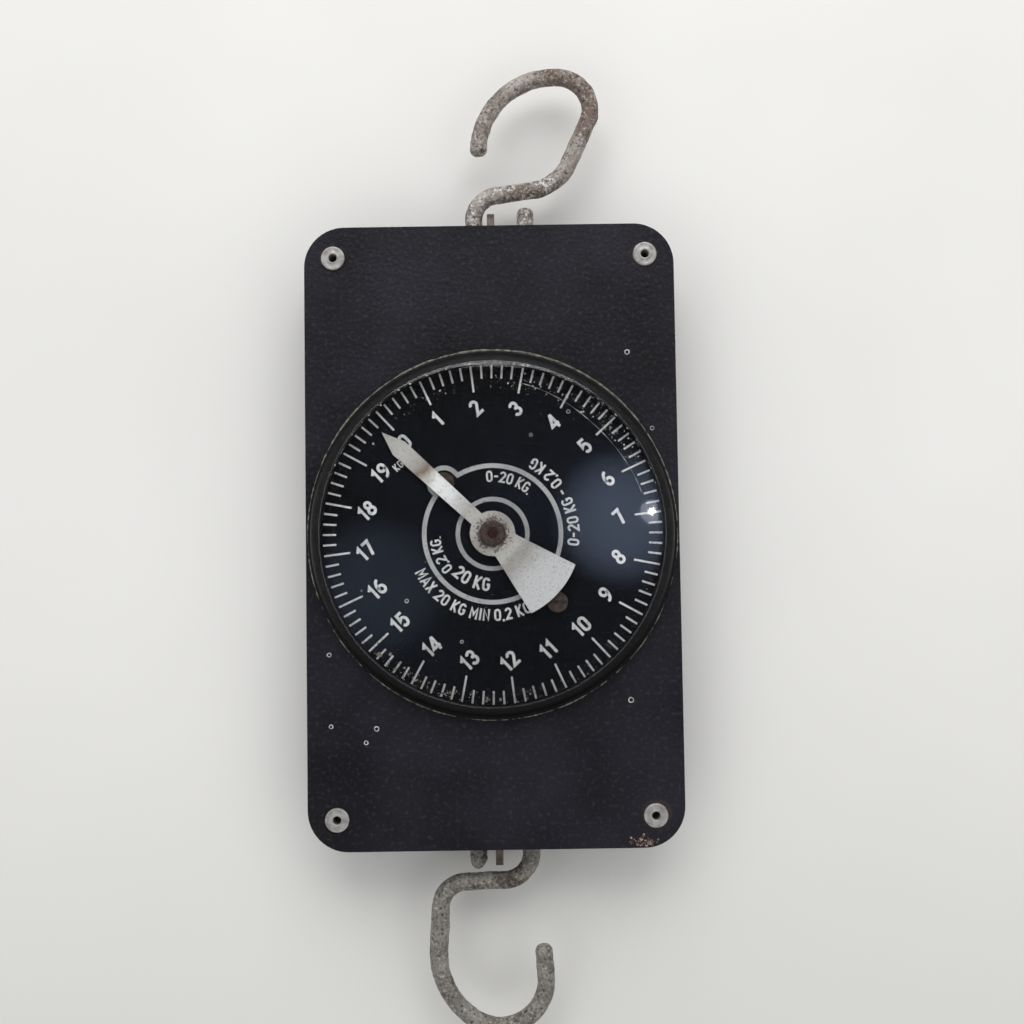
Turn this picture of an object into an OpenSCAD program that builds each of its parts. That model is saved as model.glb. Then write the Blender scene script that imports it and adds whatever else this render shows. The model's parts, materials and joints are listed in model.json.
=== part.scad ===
// Hanging weighing scale with a round dial, after one photograph.
// Millimetres. +X is right, +Z is up, and the dial looks along -Y.
// The origin is the middle of the flat back, on the axis of the dial.
// d is a depth measured from the back, so y = -d.

/* [Case] */

// Width of the two case plates
case_w = 110; // [96:1:130]

// Height of the two case plates
case_h = 184; // [176:1:220]

// Corner radius of the plates
corner_r = 12; // [9:0.5:16]

// Thickness of the back plate
back_t = 1.5; // [1.2:0.1:2.5]

// Depth of the space between the plates
bay_d = 19; // [18.2:0.1:24]

// Thickness of the front cover
cover_t = 1.2; // [0.8:0.1:2]

// Wall of the band that closes the sides
band_t = 1.2; // [0.8:0.1:1.6]

// How far the band stands in from the plates' edge
band_in = 2; // [1:0.1:3]

// Clearance round hook and strap in the band's two slots
slot_gap = 1; // [0.6:0.1:2]

/* [Corner rivets] */

// Distance of each rivet from the plates' side edge
rivet_in_x = 8.6; // [8:0.1:10]

// Distance of each rivet from the plates' top and bottom edge
rivet_in_z = 9.3; // [8:0.1:11]

// Radius of the rivet's bore
rivet_bore_r = 1.2; // [0.8:0.05:1.5]

// Radius of the rivet's shank
rivet_r = 2.5; // [2:0.1:2.8]

// Radius of the rivet's head
rivet_head_r = 3.8; // [3.2:0.1:4.5]

// Wall of the spacer tube round each rivet
spacer_t = 1.3; // [0.8:0.1:1.4]

/* [Dial and window] */

// How far the window's foot stands in from the plates' side edges
window_in = 0.6; // [0.4:0.1:4]

// Clearance of the dial sheet inside the collar
dial_gap = 0.3; // [0.1:0.05:0.6]

// Thickness of the dial sheet
dial_t = 0.6; // [0.4:0.1:1]

// Wall of the collar drawn up out of the cover
collar_t = 0.8; // [0.6:0.1:1]

// Clearance of the window over the collar
window_gap = 0.1; // [0.06:0.02:0.3]

// How far the collar's rim stays below the turn of the window's shoulder
collar_low = 0.3; // [0:0.1:1.5]

// Wall of the clear window
lens_t = 1.8; // [1.2:0.1:2]

// Height of the window above the cover
lens_h = 9.3; // [8.6:0.1:12]

// Radius of the window's crown
lens_crown_r = 500; // [350:10:900]

// Radius of the window's shoulder
lens_edge_r = 4; // [2.5:0.1:4.5]

// Width of the foot that seats on the cover
foot_w = 1.1; // [0.6:0.1:1.4]

// Direction of the zero mark, clockwise from the top
zero_a = -42.8; // [-60:0.1:-30]

// Distance of the upper dial screw from the axis
screw_up_r = 20.7; // [19:0.1:23]

// Distance of the lower dial screw from the axis
screw_low_r = 27.6; // [25:0.1:28]

// Radius of a dial screw's head
screw_head_r = 3; // [2.5:0.1:3.2]

/* [Pointer] */

// Distance of the tip from the dial's edge
tip_in = 6.3; // [3:0.1:10]

// Length of the arrow
arrow_l = 6.8; // [5:0.1:9]

// Distance from the hub's edge to the step in the arm
step_from = 10.9; // [6:0.1:14]

// Length of the step in the arm
step_l = 9; // [5:0.5:12]

// Width of the arm at the arrow's shoulder
arrow_w = 5.2; // [4.4:0.1:7]

// Width of the arm at the hub
arm_w = 4.1; // [3:0.1:5]

// Radius of the round hub
hub_r = 6.6; // [5.4:0.1:7.5]

// Radius of the tail fan
fan_r = 25.8; // [22:0.1:28]

// Half angle of the tail fan
fan_a = 21.8; // [16:0.2:25]

// Angle by which the pointer lies before zero
rest_a = 4; // [0:0.1:5]

// Thickness of the pointer sheet
pointer_t = 0.6; // [0.4:0.1:0.8]

// Radius of the boss on the hub
boss_r = 3.8; // [3.4:0.1:4.6]

/* [Hooks and straps] */

// Diameter of the hook wire
wire_d = 5.2; // [4.6:0.1:5.6]

// Radius of both hooks' closed eyes
eye_r = 7.9; // [7.5:0.1:8.4]

// Height of the upper eye's centre above the plates
eye_up = 4.3; // [3.5:0.1:5]

// Depth of the lower eye's centre below the plates
eye_low = 3; // [2.5:0.1:4]

// Sideways place of the line of pull
pull_x = 0.6; // [0:0.1:1]

// Upper eye's centre beside the line of pull
top_off = 2.7; // [1:0.1:2.8]

// Lower eye's centre beside the line of pull
low_off = 1.5; // [0.5:0.1:2.4]

// Neck of the upper hook, from the eye to the throat
top_neck = 10.8; // [8:0.1:14]

// Radius of the upper hook's throat
top_throat_r = 14.5; // [12:0.1:18]

// Straight back of the upper hook
top_back = 14; // [10:0.1:18]

// Radius of the upper hook's first bend
top_bend_r = 10; // [8:0.1:14]

// Radius of the upper hook's bow
top_bow_r = 23.2; // [20:0.1:26]

// Neck of the lower hook, from the eye to the throat
low_neck = 12.5; // [9:0.1:16]

// Radius of the lower hook's throat
low_throat_r = 7.4; // [6:0.1:10]

// Straight back of the lower hook
low_back = 12.8; // [9:0.1:16]

// Radius of the lower hook's first bend
low_bend_r = 22.3; // [19:0.1:26]

// Radius of the lower hook's bow
low_bow_r = 13.6; // [11:0.1:16]

// Straight end of the lower hook
low_tip = 7.5; // [4:0.1:10]

// Thickness of the folded straps
strap_t = 2.2; // [1.6:0.1:2.4]

// Width of the straps
strap_w = 12; // [10:0.5:14]

// Play of the wire in a strap's hole
hook_play = 0.4; // [0.3:0.05:0.8]

/* [Springs and rack] */

// Diameter of the spring wire
spring_wire = 2.2; // [1.6:0.1:2.3]

// Mean diameter of the springs
spring_d = 15; // [12:0.5:15.4]

// Turns of each spring
turns = 22; // [16:1:24]

// Rise of a spring per turn
pitch = 3; // [2.9:0.05:3.2]

// Distance of each spring from the dial's axis
spring_x = 32; // [31:0.5:38]

// Height of the upper bar's underside
bar_z = 60; // [58:0.5:66]

// Height of the crosshead's top side
cross_z = -26; // [-32:0.5:-25.5]

// Thickness of bar and crosshead
bar_t = 3; // [2:0.1:4]

// Tooth module of pinion and rack
tooth_m = 0.5; // [0.4:0.01:0.52]

// Teeth of the pinion
teeth = 20; // [18:1:21]

// Travel of the load hook at full load
travel = 31.8; // [28:0.1:33]

/* [Hidden] */

// Depths of the faces, counted from the back.
cover_d = back_t + bay_d;
front_d = cover_d + cover_t;
face_d = front_d + dial_t;
mid_d = back_t + bay_d / 2;

// Fits.
slip = 0.05;
loose = 0.2;
rub = 0.15;

rivet_x = case_w / 2 - rivet_in_x;
rivet_z = case_h / 2 - rivet_in_z;
dimple_d = back_t - 0.5;
tail_r = (rivet_r - rivet_bore_r) / 2 + 0.25;

// The window nearly fills the case's width; collar, dial and pointer follow it.
lens_out = case_w / 2 - window_in - foot_w;
lens_in = lens_out - lens_t;
collar_in = lens_in - window_gap - collar_t;
dial_r = collar_in - dial_gap;
tip_r = dial_r - tip_in;

// Crown and shoulder of the window are two arcs that meet in one tangent.
edge_c = lens_out - lens_edge_r;
crown_rise = sqrt(pow(lens_crown_r - lens_edge_r, 2) - edge_c * edge_c);
crown_c = front_d + lens_h - lens_crown_r;
edge_d = crown_c + crown_rise;
turn_a = atan2(crown_rise, edge_c);
foot_t = 0.9;
rim_d = edge_d - collar_low;

// Dial screws and the movement's two pillars share two places.
screw_r = 1.5;
screw_l = 5;
slot_cut = 0.7;
head_t = 0.8;
pillar_r = 3;
up_at = screw_up_r * [sin(zero_a), cos(zero_a)];
low_at = -screw_low_r * [sin(zero_a), cos(zero_a)];

// Pointer planes: the hub rides high, arm and fan step down to the dial.
pointer_a = zero_a - rest_a;
hub_d = face_d + 2.1;
arm_d = face_d + head_t + 0.35;
fan_d = hub_d - 0.5;
spigot_r = boss_r - 1.2;

// Movement.
arbor_r = 1.5;
bush_r = arbor_r + 1.5;
leaf_t = 1.5;
leaf_d = back_t + 1.5;
pitch_r = tooth_m * teeth / 2;
rack_t = 4;
rack_w = 4;
rack_back = pitch_r + rack_t;
guide_r = 2;
backlash = 0.15;
flank = 20;

// Hooks: an eye from its open end, clockwise, and then the run to the tip.
wire_r = wire_d / 2;
top_eye = [pull_x + top_off, case_h / 2 + eye_up];
low_eye = [pull_x + low_off, -case_h / 2 - eye_low];
top_start = 9.7;
low_start = 195.2;
top_run = [
  [eye_r, -272], [0, top_neck], [top_throat_r, 57.5], [0, top_back],
  [top_bend_r, 109.5], [top_bow_r, 94]
];
low_run = [
  [eye_r, -283], [0, low_neck], [low_throat_r, 84.5], [0, low_back],
  [low_bend_r, 65.5], [low_bow_r, 122], [0, low_tip]
];

// A grip mark of the bending tool at each tangent point of the wire.
grip_h = 0.02;
grip_w = 0.6;
nip = 0.1;

// The hole of a strap clears the round of the eye on both faces of the strap.
function near_x(off) = max(0, off - strap_t / 2);
function far_x(off) = off + strap_t / 2;
function eye_in(off) = sqrt(pow(eye_r - wire_r, 2) - pow(far_x(off), 2)) - hook_play;
function eye_out(off) = sqrt(pow(eye_r + wire_r, 2) - pow(near_x(off), 2)) + hook_play;
function hole_r(off) = (eye_out(off) - eye_in(off)) / 2;
function hole_at(off) = (eye_out(off) + eye_in(off)) / 2;

strap_leaf = strap_t / 2;
strap_foot = 2.4;
top_end = top_eye[1] + 1.9;
low_end = low_eye[1] - 3.4;

slot_x0 = pull_x + min(top_off, low_off) - eye_r - wire_r - slot_gap;
slot_x1 = pull_x + max(top_off, low_off) + eye_r + wire_r + slot_gap;
slot_w = strap_w + 2 * slot_gap;

bar_play = 2;
pin_in = 12;
pin_up = 6;
bar_w = bay_d - 2 * bar_play;
bar_half = spring_x + spring_d / 2 + 2;
bar_rivet_x = spring_x - pin_in;
bar_flange = 16;
flange_t = 2;
spring_play = 0.35;
leg_hole_r = spring_wire / 2 + spring_play;
leg_slot = spring_wire / 3;
pin_r = 1.75;
pin_head_r = 3.2;
pin_sink_r = 2.85;
pin_z = bar_z + bar_flange - pin_up;

// Shapes used by several pieces.

module slab(d0, t) {
  translate([0, -d0, 0]) rotate([90, 0, 0]) linear_extrude(t) children();
}

module spin(x, z) {
  translate([x, 0, z]) rotate([90, 0, 0]) children();
}

module rounded(w, h, r) {
  square([w, h - 2 * r], center = true);
  square([w - 2 * r, h], center = true);
  for (sx = [-1, 1], sz = [-1, 1])
    translate([sx * (w / 2 - r), sz * (h / 2 - r)]) circle(r, $fn = 96);
}

module bar_between(a, b, r) {
  l = norm(b - a);
  translate(a) rotate(atan2(b[1] - a[1], b[0] - a[0])) {
    translate([0, -r]) square([l, 2 * r]);
    circle(r, $fn = 64);
    translate([l, 0]) circle(r, $fn = 64);
  }
}

module corners() {
  for (sx = [-1, 1], sz = [-1, 1]) spin(sx * rivet_x, sz * rivet_z) children();
}

module ring(r_in, r_out, d0, d1) {
  translate([0, 0, d0]) difference() {
    cylinder(r = r_out, h = d1 - d0, $fn = 96);
    translate([0, 0, -1]) cylinder(r = r_in, h = d1 - d0 + 2, $fn = 96);
  }
}

// The two hooks.

module wire(run, i = 0) {
  if (i < len(run)) {
    r = run[i][0];
    a = run[i][1];
    s = a < 0 ? -1 : 1;
    lead = i == 0 ? 0 : nip;
    tail = i == len(run) - 1 ? 0 : nip;
    if (i > 0)
      rotate([0, 90, 0]) translate([0, 0, -grip_w / 2])
        cylinder(r = wire_r + grip_h, h = grip_w, $fn = 48);
    if (r == 0) {
      translate([lead, 0, 0]) rotate([0, 90, 0])
        cylinder(r = wire_r, h = a - lead - tail, $fn = 48);
      translate([a, 0, 0]) wire(run, i + 1);
    } else {
      turn = 180 / (PI * r);
      rotate([s < 0 ? 180 : 0, 0, 0]) translate([0, 0, r]) rotate([90, 0, 0])
        rotate([0, 0, lead * turn - 90])
          rotate_extrude(angle = abs(a) - (lead + tail) * turn, $fn = 120)
            translate([r, 0]) circle(wire_r, $fn = 48);
      translate([0, 0, s * r]) rotate([0, -a, 0]) translate([0, 0, -s * r]) wire(run, i + 1);
    }
  }
}

module hook(eye, start, run) {
  translate([eye[0], -mid_d, eye[1]]) rotate([0, 90 - start, 0])
    translate([0, 0, eye_r]) wire(run);
}

module top_hook() {
  color([0.62, 0.6, 0.55]) hook(top_eye, top_start, top_run);
}

module load_hook() {
  color([0.62, 0.6, 0.55]) hook(low_eye, low_start, low_run);
}

// The case.

module back_plate() {
  color([0.15, 0.15, 0.18])
    difference() {
      slab(0, back_t) rounded(case_w, case_h, corner_r);
      corners() {
        translate([0, 0, -1]) cylinder(r = rivet_r + loose, h = back_t + 2, $fn = 64);
        translate([0, 0, -1]) cylinder(r = rivet_bore_r + 2 * tail_r + loose, h = dimple_d + 1, $fn = 64);
      }
      for (s = [-1, 1]) spin(s * bar_rivet_x, pin_z) {
        translate([0, 0, -1]) cylinder(r = pin_r + slip, h = back_t + 2, $fn = 48);
        translate([0, 0, -0.01])
          cylinder(r1 = pin_sink_r + 2 * slip, r2 = pin_r + slip, h = back_t - 0.4, $fn = 48);
      }
    }
}

module side_band() {
  w = case_w - 2 * band_in;
  h = case_h - 2 * band_in;
  r = corner_r - band_in;
  color([0.13, 0.13, 0.16])
    difference() {
      slab(back_t, bay_d) rounded(w, h, r);
      slab(back_t - 1, bay_d + 2) rounded(w - 2 * band_t, h - 2 * band_t, r - band_t);
      for (s = [-1, 1])
        translate([slot_x0, -mid_d - slot_w / 2, s * h / 2 - 5]) cube([slot_x1 - slot_x0, slot_w, 10]);
    }
}

module front_cover() {
  color([0.15, 0.15, 0.18])
    difference() {
      union() {
        slab(cover_d, cover_t) rounded(case_w, case_h, corner_r);
        spin(0, 0) {
          ring(collar_in, collar_in + collar_t, front_d - 0.3, rim_d);
          translate([0, 0, rim_d]) rotate_extrude($fn = 180)
            translate([collar_in + collar_t / 2, 0]) circle(collar_t / 2, $fn = 32);
        }
      }
      corners() translate([0, 0, cover_d - 1]) cylinder(r = rivet_r + loose, h = cover_t + 2, $fn = 64);
      spin(0, 0) translate([0, 0, cover_d - 1]) cylinder(r = bush_r + slip, h = cover_t + 2, $fn = 64);
      for (p = [up_at, low_at])
        spin(p[0], p[1]) translate([0, 0, cover_d - 1])
          cylinder(r = screw_r + loose, h = cover_t + 2, $fn = 48);
    }
}

module corner_spacers() {
  color([0.55, 0.56, 0.58])
    corners() ring(rivet_r + loose, rivet_r + loose + spacer_t, back_t, cover_d);
}

module hollow_rivets() {
  head = (rivet_head_r - rivet_bore_r) / 2;
  color([0.72, 0.72, 0.7])
    corners() rotate_extrude($fn = 96) {
      translate([rivet_bore_r, dimple_d]) square([rivet_r - rivet_bore_r, front_d - dimple_d]);
      intersection() {
        translate([rivet_bore_r + head, front_d]) circle(head, $fn = 48);
        translate([rivet_bore_r, front_d]) square([2 * head, head + 1]);
      }
      intersection() {
        translate([rivet_bore_r + tail_r, dimple_d]) circle(tail_r, $fn = 48);
        translate([rivet_bore_r, dimple_d - tail_r]) square([2 * tail_r, tail_r]);
      }
    }
}

// Dial, window and pointer.

module dial_sheet() {
  color([0.09, 0.09, 0.12])
    difference() {
      slab(front_d, dial_t) circle(dial_r, $fn = 240);
      spin(0, 0) translate([0, 0, front_d - 1]) cylinder(r = bush_r + 1, h = dial_t + 2, $fn = 64);
      for (p = [up_at, low_at])
        spin(p[0], p[1]) translate([0, 0, front_d - 1])
          cylinder(r = screw_r + loose, h = dial_t + 2, $fn = 48);
    }
}

module dial_screws() {
  color([0.42, 0.3, 0.2])
    for (p = [up_at, low_at]) spin(p[0], p[1]) difference() {
      union() {
        translate([0, 0, cover_d - screw_l]) cylinder(r = screw_r, h = face_d - cover_d + screw_l, $fn = 48);
        translate([0, 0, face_d]) cylinder(r = screw_head_r, h = head_t, $fn = 64);
      }
      translate([-screw_head_r, -slot_cut / 2, face_d + head_t / 2])
        cube([2 * screw_head_r, slot_cut, head_t]);
    }
}

function arc(c, r, a0, a1, n) =
  [for (i = [0:n]) let (a = a0 + (a1 - a0) * i / n) c + r * [cos(a), sin(a)]];

module window() {
  outer = concat(
    arc([edge_c, edge_d], lens_edge_r, 0, turn_a, 14),
    arc([0, crown_c], lens_crown_r, turn_a, 90, 12)
  );
  inner = concat(
    arc([0, crown_c], lens_crown_r - lens_t, 90, turn_a, 12),
    arc([edge_c, edge_d], lens_edge_r - lens_t, turn_a, 0, 10)
  );
  color([0.8, 0.86, 0.9, 0.35])
    spin(0, 0) rotate_extrude($fn = 240) polygon(concat(
      [[lens_in, front_d], [lens_out + foot_w, front_d]],
      [[lens_out + foot_w, front_d + foot_t], [lens_out, front_d + foot_t]],
      [for (p = outer) [max(0, p[0]), p[1]]],
      [for (p = inner) [max(0, p[0]), p[1]]]
    ));
}

module arm_outline() {
  polygon([
    [0, tip_r], [arrow_w / 2, tip_r - arrow_l], [arm_w / 2, 0],
    [-arm_w / 2, 0], [-arrow_w / 2, tip_r - arrow_l]
  ]);
}

module fan_outline() {
  neck = 4.45;
  edge = fan_r * sin(fan_a);
  root = -fan_r * cos(fan_a);
  intersection() {
    circle(fan_r, $fn = 180);
    polygon([
      [neck, 0], [neck, 1 - hub_r], [edge, root], [edge, -fan_r - 1],
      [-edge, -fan_r - 1], [-edge, root], [-neck, 1 - hub_r], [-neck, 0]
    ]);
  }
}

module pointer() {
  high = hub_r + step_from;
  low = high + step_l;
  color([0.75, 0.75, 0.74])
    rotate([0, pointer_a, 0]) difference() {
      intersection() {
        union() {
          slab(face_d, lens_h) arm_outline();
          slab(face_d, lens_h) circle(hub_r, $fn = 96);
          slab(face_d, lens_h) fan_outline();
        }
        rotate([0, 90, 0]) linear_extrude(4 * hub_r, center = true) polygon([
          [-tip_r - 1, -arm_d], [-low, -arm_d], [-high, -hub_d],
          [hub_r + 1.5, -hub_d], [hub_r + 5.5, -fan_d], [fan_r + 1, -fan_d],
          [fan_r + 1, -fan_d - pointer_t], [hub_r + 5.5, -fan_d - pointer_t],
          [hub_r + 1.5, -hub_d - pointer_t], [-high, -hub_d - pointer_t],
          [-low, -arm_d - pointer_t], [-tip_r - 1, -arm_d - pointer_t]
        ]);
      }
      spin(0, 0) translate([0, 0, face_d]) cylinder(r = spigot_r + slip, h = lens_h, $fn = 64);
    }
}

module pointer_boss() {
  top = hub_d + pointer_t;
  color([0.4, 0.29, 0.2])
    spin(0, 0) rotate_extrude($fn = 96) polygon([
      [arbor_r + 0.02, hub_d - 0.7], [spigot_r, hub_d - 0.7], [spigot_r, top], [boss_r, top],
      [boss_r, top + 0.9], [boss_r - 0.5, top + 1.3], [arbor_r + 0.5, top + 1.3], [arbor_r + 0.02, top + 0.9]
    ]);
}

// The movement.

function involute(b, t) = b * [cos(t) + t * PI / 180 * sin(t), sin(t) - t * PI / 180 * cos(t)];
function turned(p, a) = [p[0] * cos(a) - p[1] * sin(a), p[0] * sin(a) + p[1] * cos(a)];
base_r = pitch_r * cos(flank);
tip_t = sqrt(pow((pitch_r + tooth_m) / base_r, 2) - 1) * 180 / PI;
half_a = (PI * tooth_m / 2 - backlash / 2) / 2 / pitch_r * 180 / PI + (tan(flank) * 180 / PI - flank);
root_r = pitch_r - 1.25 * tooth_m;

function tooth(a) = concat(
  [turned([root_r, 0], a - half_a)],
  [for (k = [0:5]) turned(involute(base_r, tip_t * k / 5), a - half_a)],
  [for (k = [5:-1:0]) let (p = involute(base_r, tip_t * k / 5)) turned([p[0], -p[1]], a + half_a)],
  [turned([root_r, 0], a + half_a)]
);

module pinion_arbor() {
  color([0.72, 0.6, 0.33])
    spin(0, 0) union() {
      translate([0, 0, leaf_d - 1]) cylinder(r = arbor_r, h = hub_d + pointer_t + 0.9 - leaf_d + 1, $fn = 64);
      translate([0, 0, mid_d - rack_w / 2 - 0.5]) linear_extrude(rack_w + 1)
        polygon([for (i = [0:teeth - 1], p = tooth((i + 0.5) * 360 / teeth)) p]);
      translate([0, 0, mid_d + rack_w / 2 + 0.5]) cylinder(r = root_r, h = 2, $fn = 64);
    }
}

tooth_p = PI * tooth_m;
slope = tan(flank);
rack_low = floor((pitch_r + 1) / tooth_p);
rack_high = ceil((travel + pitch_r + 1) / tooth_p);
tooth_half = tooth_p / 4 - backlash / 4;

module rack() {
  color([0.66, 0.58, 0.38])
    difference() {
      slab(mid_d - rack_w / 2, rack_w) {
        polygon(concat(
          [[rack_back, cross_z], [rack_back, (rack_high + 1) * tooth_p]],
          [[pitch_r + 1.25 * tooth_m, (rack_high + 1) * tooth_p]],
          [for (i = [rack_high:-1:-rack_low], k = [0:3]) let (s = k < 2 ? 1 : -1, tip = k == 1 || k == 2)
            [tip ? pitch_r - tooth_m : pitch_r + 1.25 * tooth_m,
             i * tooth_p + s * (tooth_half + (tip ? -tooth_m : 1.25 * tooth_m) * slope)]],
          [[pitch_r + 1.25 * tooth_m, cross_z]]
        ));
        translate([rack_back - 2.8, cross_z - bar_t]) square([2.4, bar_t + 1]);
      }
    }
}

module movement_plate() {
  color([0.68, 0.6, 0.4])
    difference() {
      slab(leaf_d, leaf_t) {
        bar_between(up_at, low_at, pillar_r + 1);
        bar_between([0, 0], [rack_back + rub + guide_r, 0], guide_r + 2);
      }
      spin(0, 0) cylinder(r = bush_r + slip, h = cover_d, $fn = 64);
      for (p = [up_at, low_at]) spin(p[0], p[1]) cylinder(r = pillar_r - 1 + slip, h = cover_d, $fn = 48);
      spin(rack_back + rub + guide_r, 0) cylinder(r = guide_r - 0.6 + slip, h = cover_d, $fn = 48);
    }
}

module movement_pillars() {
  color([0.68, 0.6, 0.4])
    for (p = [up_at, low_at]) spin(p[0], p[1]) difference() {
      union() {
        translate([0, 0, leaf_d + leaf_t]) cylinder(r = pillar_r, h = cover_d - leaf_d - leaf_t, $fn = 64);
        translate([0, 0, leaf_d - 0.4]) cylinder(r = pillar_r - 1, h = leaf_t + 1, $fn = 48);
      }
      translate([0, 0, cover_d - screw_l - 2]) cylinder(r = screw_r + 0.02, h = screw_l + 3, $fn = 48);
    }
}

module arbor_bushes() {
  color([0.74, 0.6, 0.3])
    spin(0, 0) {
      ring(arbor_r + slip, bush_r, leaf_d - 0.4, leaf_d + leaf_t + 1);
      ring(arbor_r + slip, bush_r, cover_d - 0.2, face_d + 0.6);
      ring(arbor_r + slip, bush_r + 1, cover_d - 1.2, cover_d);
    }
}

module rack_guide() {
  color([0.55, 0.56, 0.58])
    spin(rack_back + rub + guide_r, 0) union() {
      translate([0, 0, leaf_d - 0.4]) cylinder(r = guide_r - 0.6, h = leaf_t + 1, $fn = 48);
      translate([0, 0, leaf_d + leaf_t])
        cylinder(r = guide_r, h = mid_d + rack_w / 2 - leaf_d - leaf_t, $fn = 64);
      translate([0, 0, mid_d + rack_w / 2 + 0.3]) cylinder(r = guide_r + 1, h = 0.8, $fn = 64);
      translate([0, 0, mid_d + rack_w / 2 - 0.1]) cylinder(r = guide_r, h = 0.6, $fn = 64);
    }
}

// The path of the load, from hook to hook.

module strap_slot() {
  translate([pull_x - strap_t / 2 - loose, -mid_d - strap_w / 2 - loose, -1])
    cube([strap_t + 2 * loose, strap_w + 2 * loose, bar_t + 2]);
}

module leg_holes(foot) {
  for (s = [-1, 1]) translate([s * spring_x, -mid_d, -1]) {
    cylinder(r = leg_hole_r, h = bar_t + 2, $fn = 48);
    translate([0, foot * leg_slot, 0]) cylinder(r = leg_hole_r, h = bar_t + 2, $fn = 48);
    translate([-leg_hole_r, min(0, foot * leg_slot), 0]) cube([2 * leg_hole_r, leg_slot, bar_t + 2]);
  }
}

module top_bar() {
  color([0.5, 0.5, 0.52])
    difference() {
      union() {
        translate([-bar_half, -mid_d - bar_w / 2, bar_z])
          cube([2 * bar_half, mid_d + bar_w / 2 - back_t, bar_t]);
        translate([-bar_half, -back_t - flange_t, bar_z]) cube([2 * bar_half, flange_t, bar_flange]);
      }
      translate([0, 0, bar_z]) strap_slot();
      translate([0, 0, bar_z]) leg_holes(1);
      for (s = [-1, 1]) spin(s * bar_rivet_x, pin_z) cylinder(r = pin_r + slip, h = mid_d, $fn = 48);
    }
}

module bar_rivets() {
  color([0.6, 0.6, 0.6])
    for (s = [-1, 1]) spin(s * bar_rivet_x, pin_z) rotate_extrude($fn = 64) {
      polygon([
        [0, 0.05], [pin_sink_r, 0.05], [pin_r, back_t - 0.4], [pin_r, back_t + flange_t],
        [pin_head_r, back_t + flange_t], [pin_head_r - 0.2, back_t + flange_t + 0.7],
        [pin_head_r - 1, back_t + flange_t + 1.2], [0, back_t + flange_t + 1.4]
      ]);
    }
}

module strap(foot_z, end_z, hole_z, r) {
  up = end_z > foot_z ? 1 : -1;
  end_r = strap_w / 2;
  difference() {
    union() {
      translate([pull_x - strap_t / 2, -mid_d - end_r, min(foot_z, end_z - up * end_r)])
        cube([strap_t, strap_w, abs(end_z - up * end_r - foot_z)]);
      translate([pull_x - strap_t / 2, -mid_d, end_z - up * end_r]) rotate([0, 90, 0])
        cylinder(r = end_r, h = strap_t, $fn = 96);
      translate([pull_x - strap_t / 2 - strap_foot, -mid_d - end_r, min(foot_z, foot_z + up * strap_leaf)])
        cube([strap_t + 2 * strap_foot, strap_w, strap_leaf]);
    }
    translate([pull_x - strap_t, -mid_d, hole_z]) rotate([0, 90, 0])
      cylinder(r = r, h = 2 * strap_t, $fn = 96);
  }
}

module hanger_strap() {
  color([0.52, 0.5, 0.46])
    strap(bar_z - strap_leaf, top_end, top_eye[1] - hole_at(top_off), hole_r(top_off));
}

module draw_strap() {
  color([0.52, 0.5, 0.46])
    strap(cross_z + strap_leaf, low_end, low_eye[1] + hole_at(low_off), hole_r(low_off));
}

module crosshead() {
  color([0.5, 0.5, 0.52])
    difference() {
      translate([0, -mid_d, cross_z - bar_t]) linear_extrude(bar_t) rounded(2 * bar_half, bar_w, 3);
      translate([0, 0, cross_z - bar_t]) strap_slot();
      translate([0, 0, cross_z - bar_t]) leg_holes(-1);
      translate([rack_back - 2.8 - slip, -mid_d - rack_w / 2 - slip, cross_z - bar_t - 1])
        cube([2.4 + 2 * slip, rack_w + 2 * slip, bar_t + 2]);
    }
}

// The springs: one unbroken tube each, a foot and a leg at both ends.

sides = 6;
steps = 8;
leg_n = 10;
run_in = 7;
foot_l = 5;
coil_z0 = (bar_z + cross_z + turns * pitch) / 2;
leg_top = coil_z0 + run_in;
end_off = spring_wire / 2 + 0.3;

function half_path(u) = let (r = spring_d / 2 * u * u * (3 - 2 * u), a = 90 - 270 * (1 - u),
  drop = (2 * run_in - 0.75 * pitch) * u + (0.75 * pitch - run_in) * u * u)
  [r * cos(a), r * sin(a), leg_top - drop, a];

// Rings of the upper half of the end: foot, bend, leg, run to the coil.
bend_r = spring_wire;
function end_rings(z_out) = concat(
  [[0, foot_l, z_out, -180], [0, bend_r, z_out, -180], [0, bend_r * 0.3, z_out - bend_r * 0.3, -180],
   [0, 0, z_out - bend_r, -180]],
  [for (k = [0:leg_n - 1]) half_path(k / leg_n)]
);
coil_rings = [for (k = [0:turns * steps]) let (a = 90 + k * 360 / steps)
  [spring_d / 2 * cos(a), spring_d / 2 * sin(a), coil_z0 - k * pitch / steps, a]];
mid_z = (bar_z + cross_z) / 2;
upper = end_rings(bar_z + bar_t + end_off);
function flipped(p) = [p[0], -p[1], 2 * mid_z - p[2], -p[3]];
lower = [for (i = [len(upper) - 1:-1:0]) flipped(upper[i])];

route = concat(upper, coil_rings, lower);
points = [for (p = route) [p[0], p[1], p[2]]];
n_rings = len(points);

function way(i) = let (a = points[max(0, i - 1)], b = points[min(n_rings - 1, i + 1)]) (b - a) / norm(b - a);
function across(v, t) = let (w = v - (v * t) * t) w / norm(w);
function side_of(i) = let (a = route[i][3]) across([cos(a), sin(a), 0], way(i));

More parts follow.
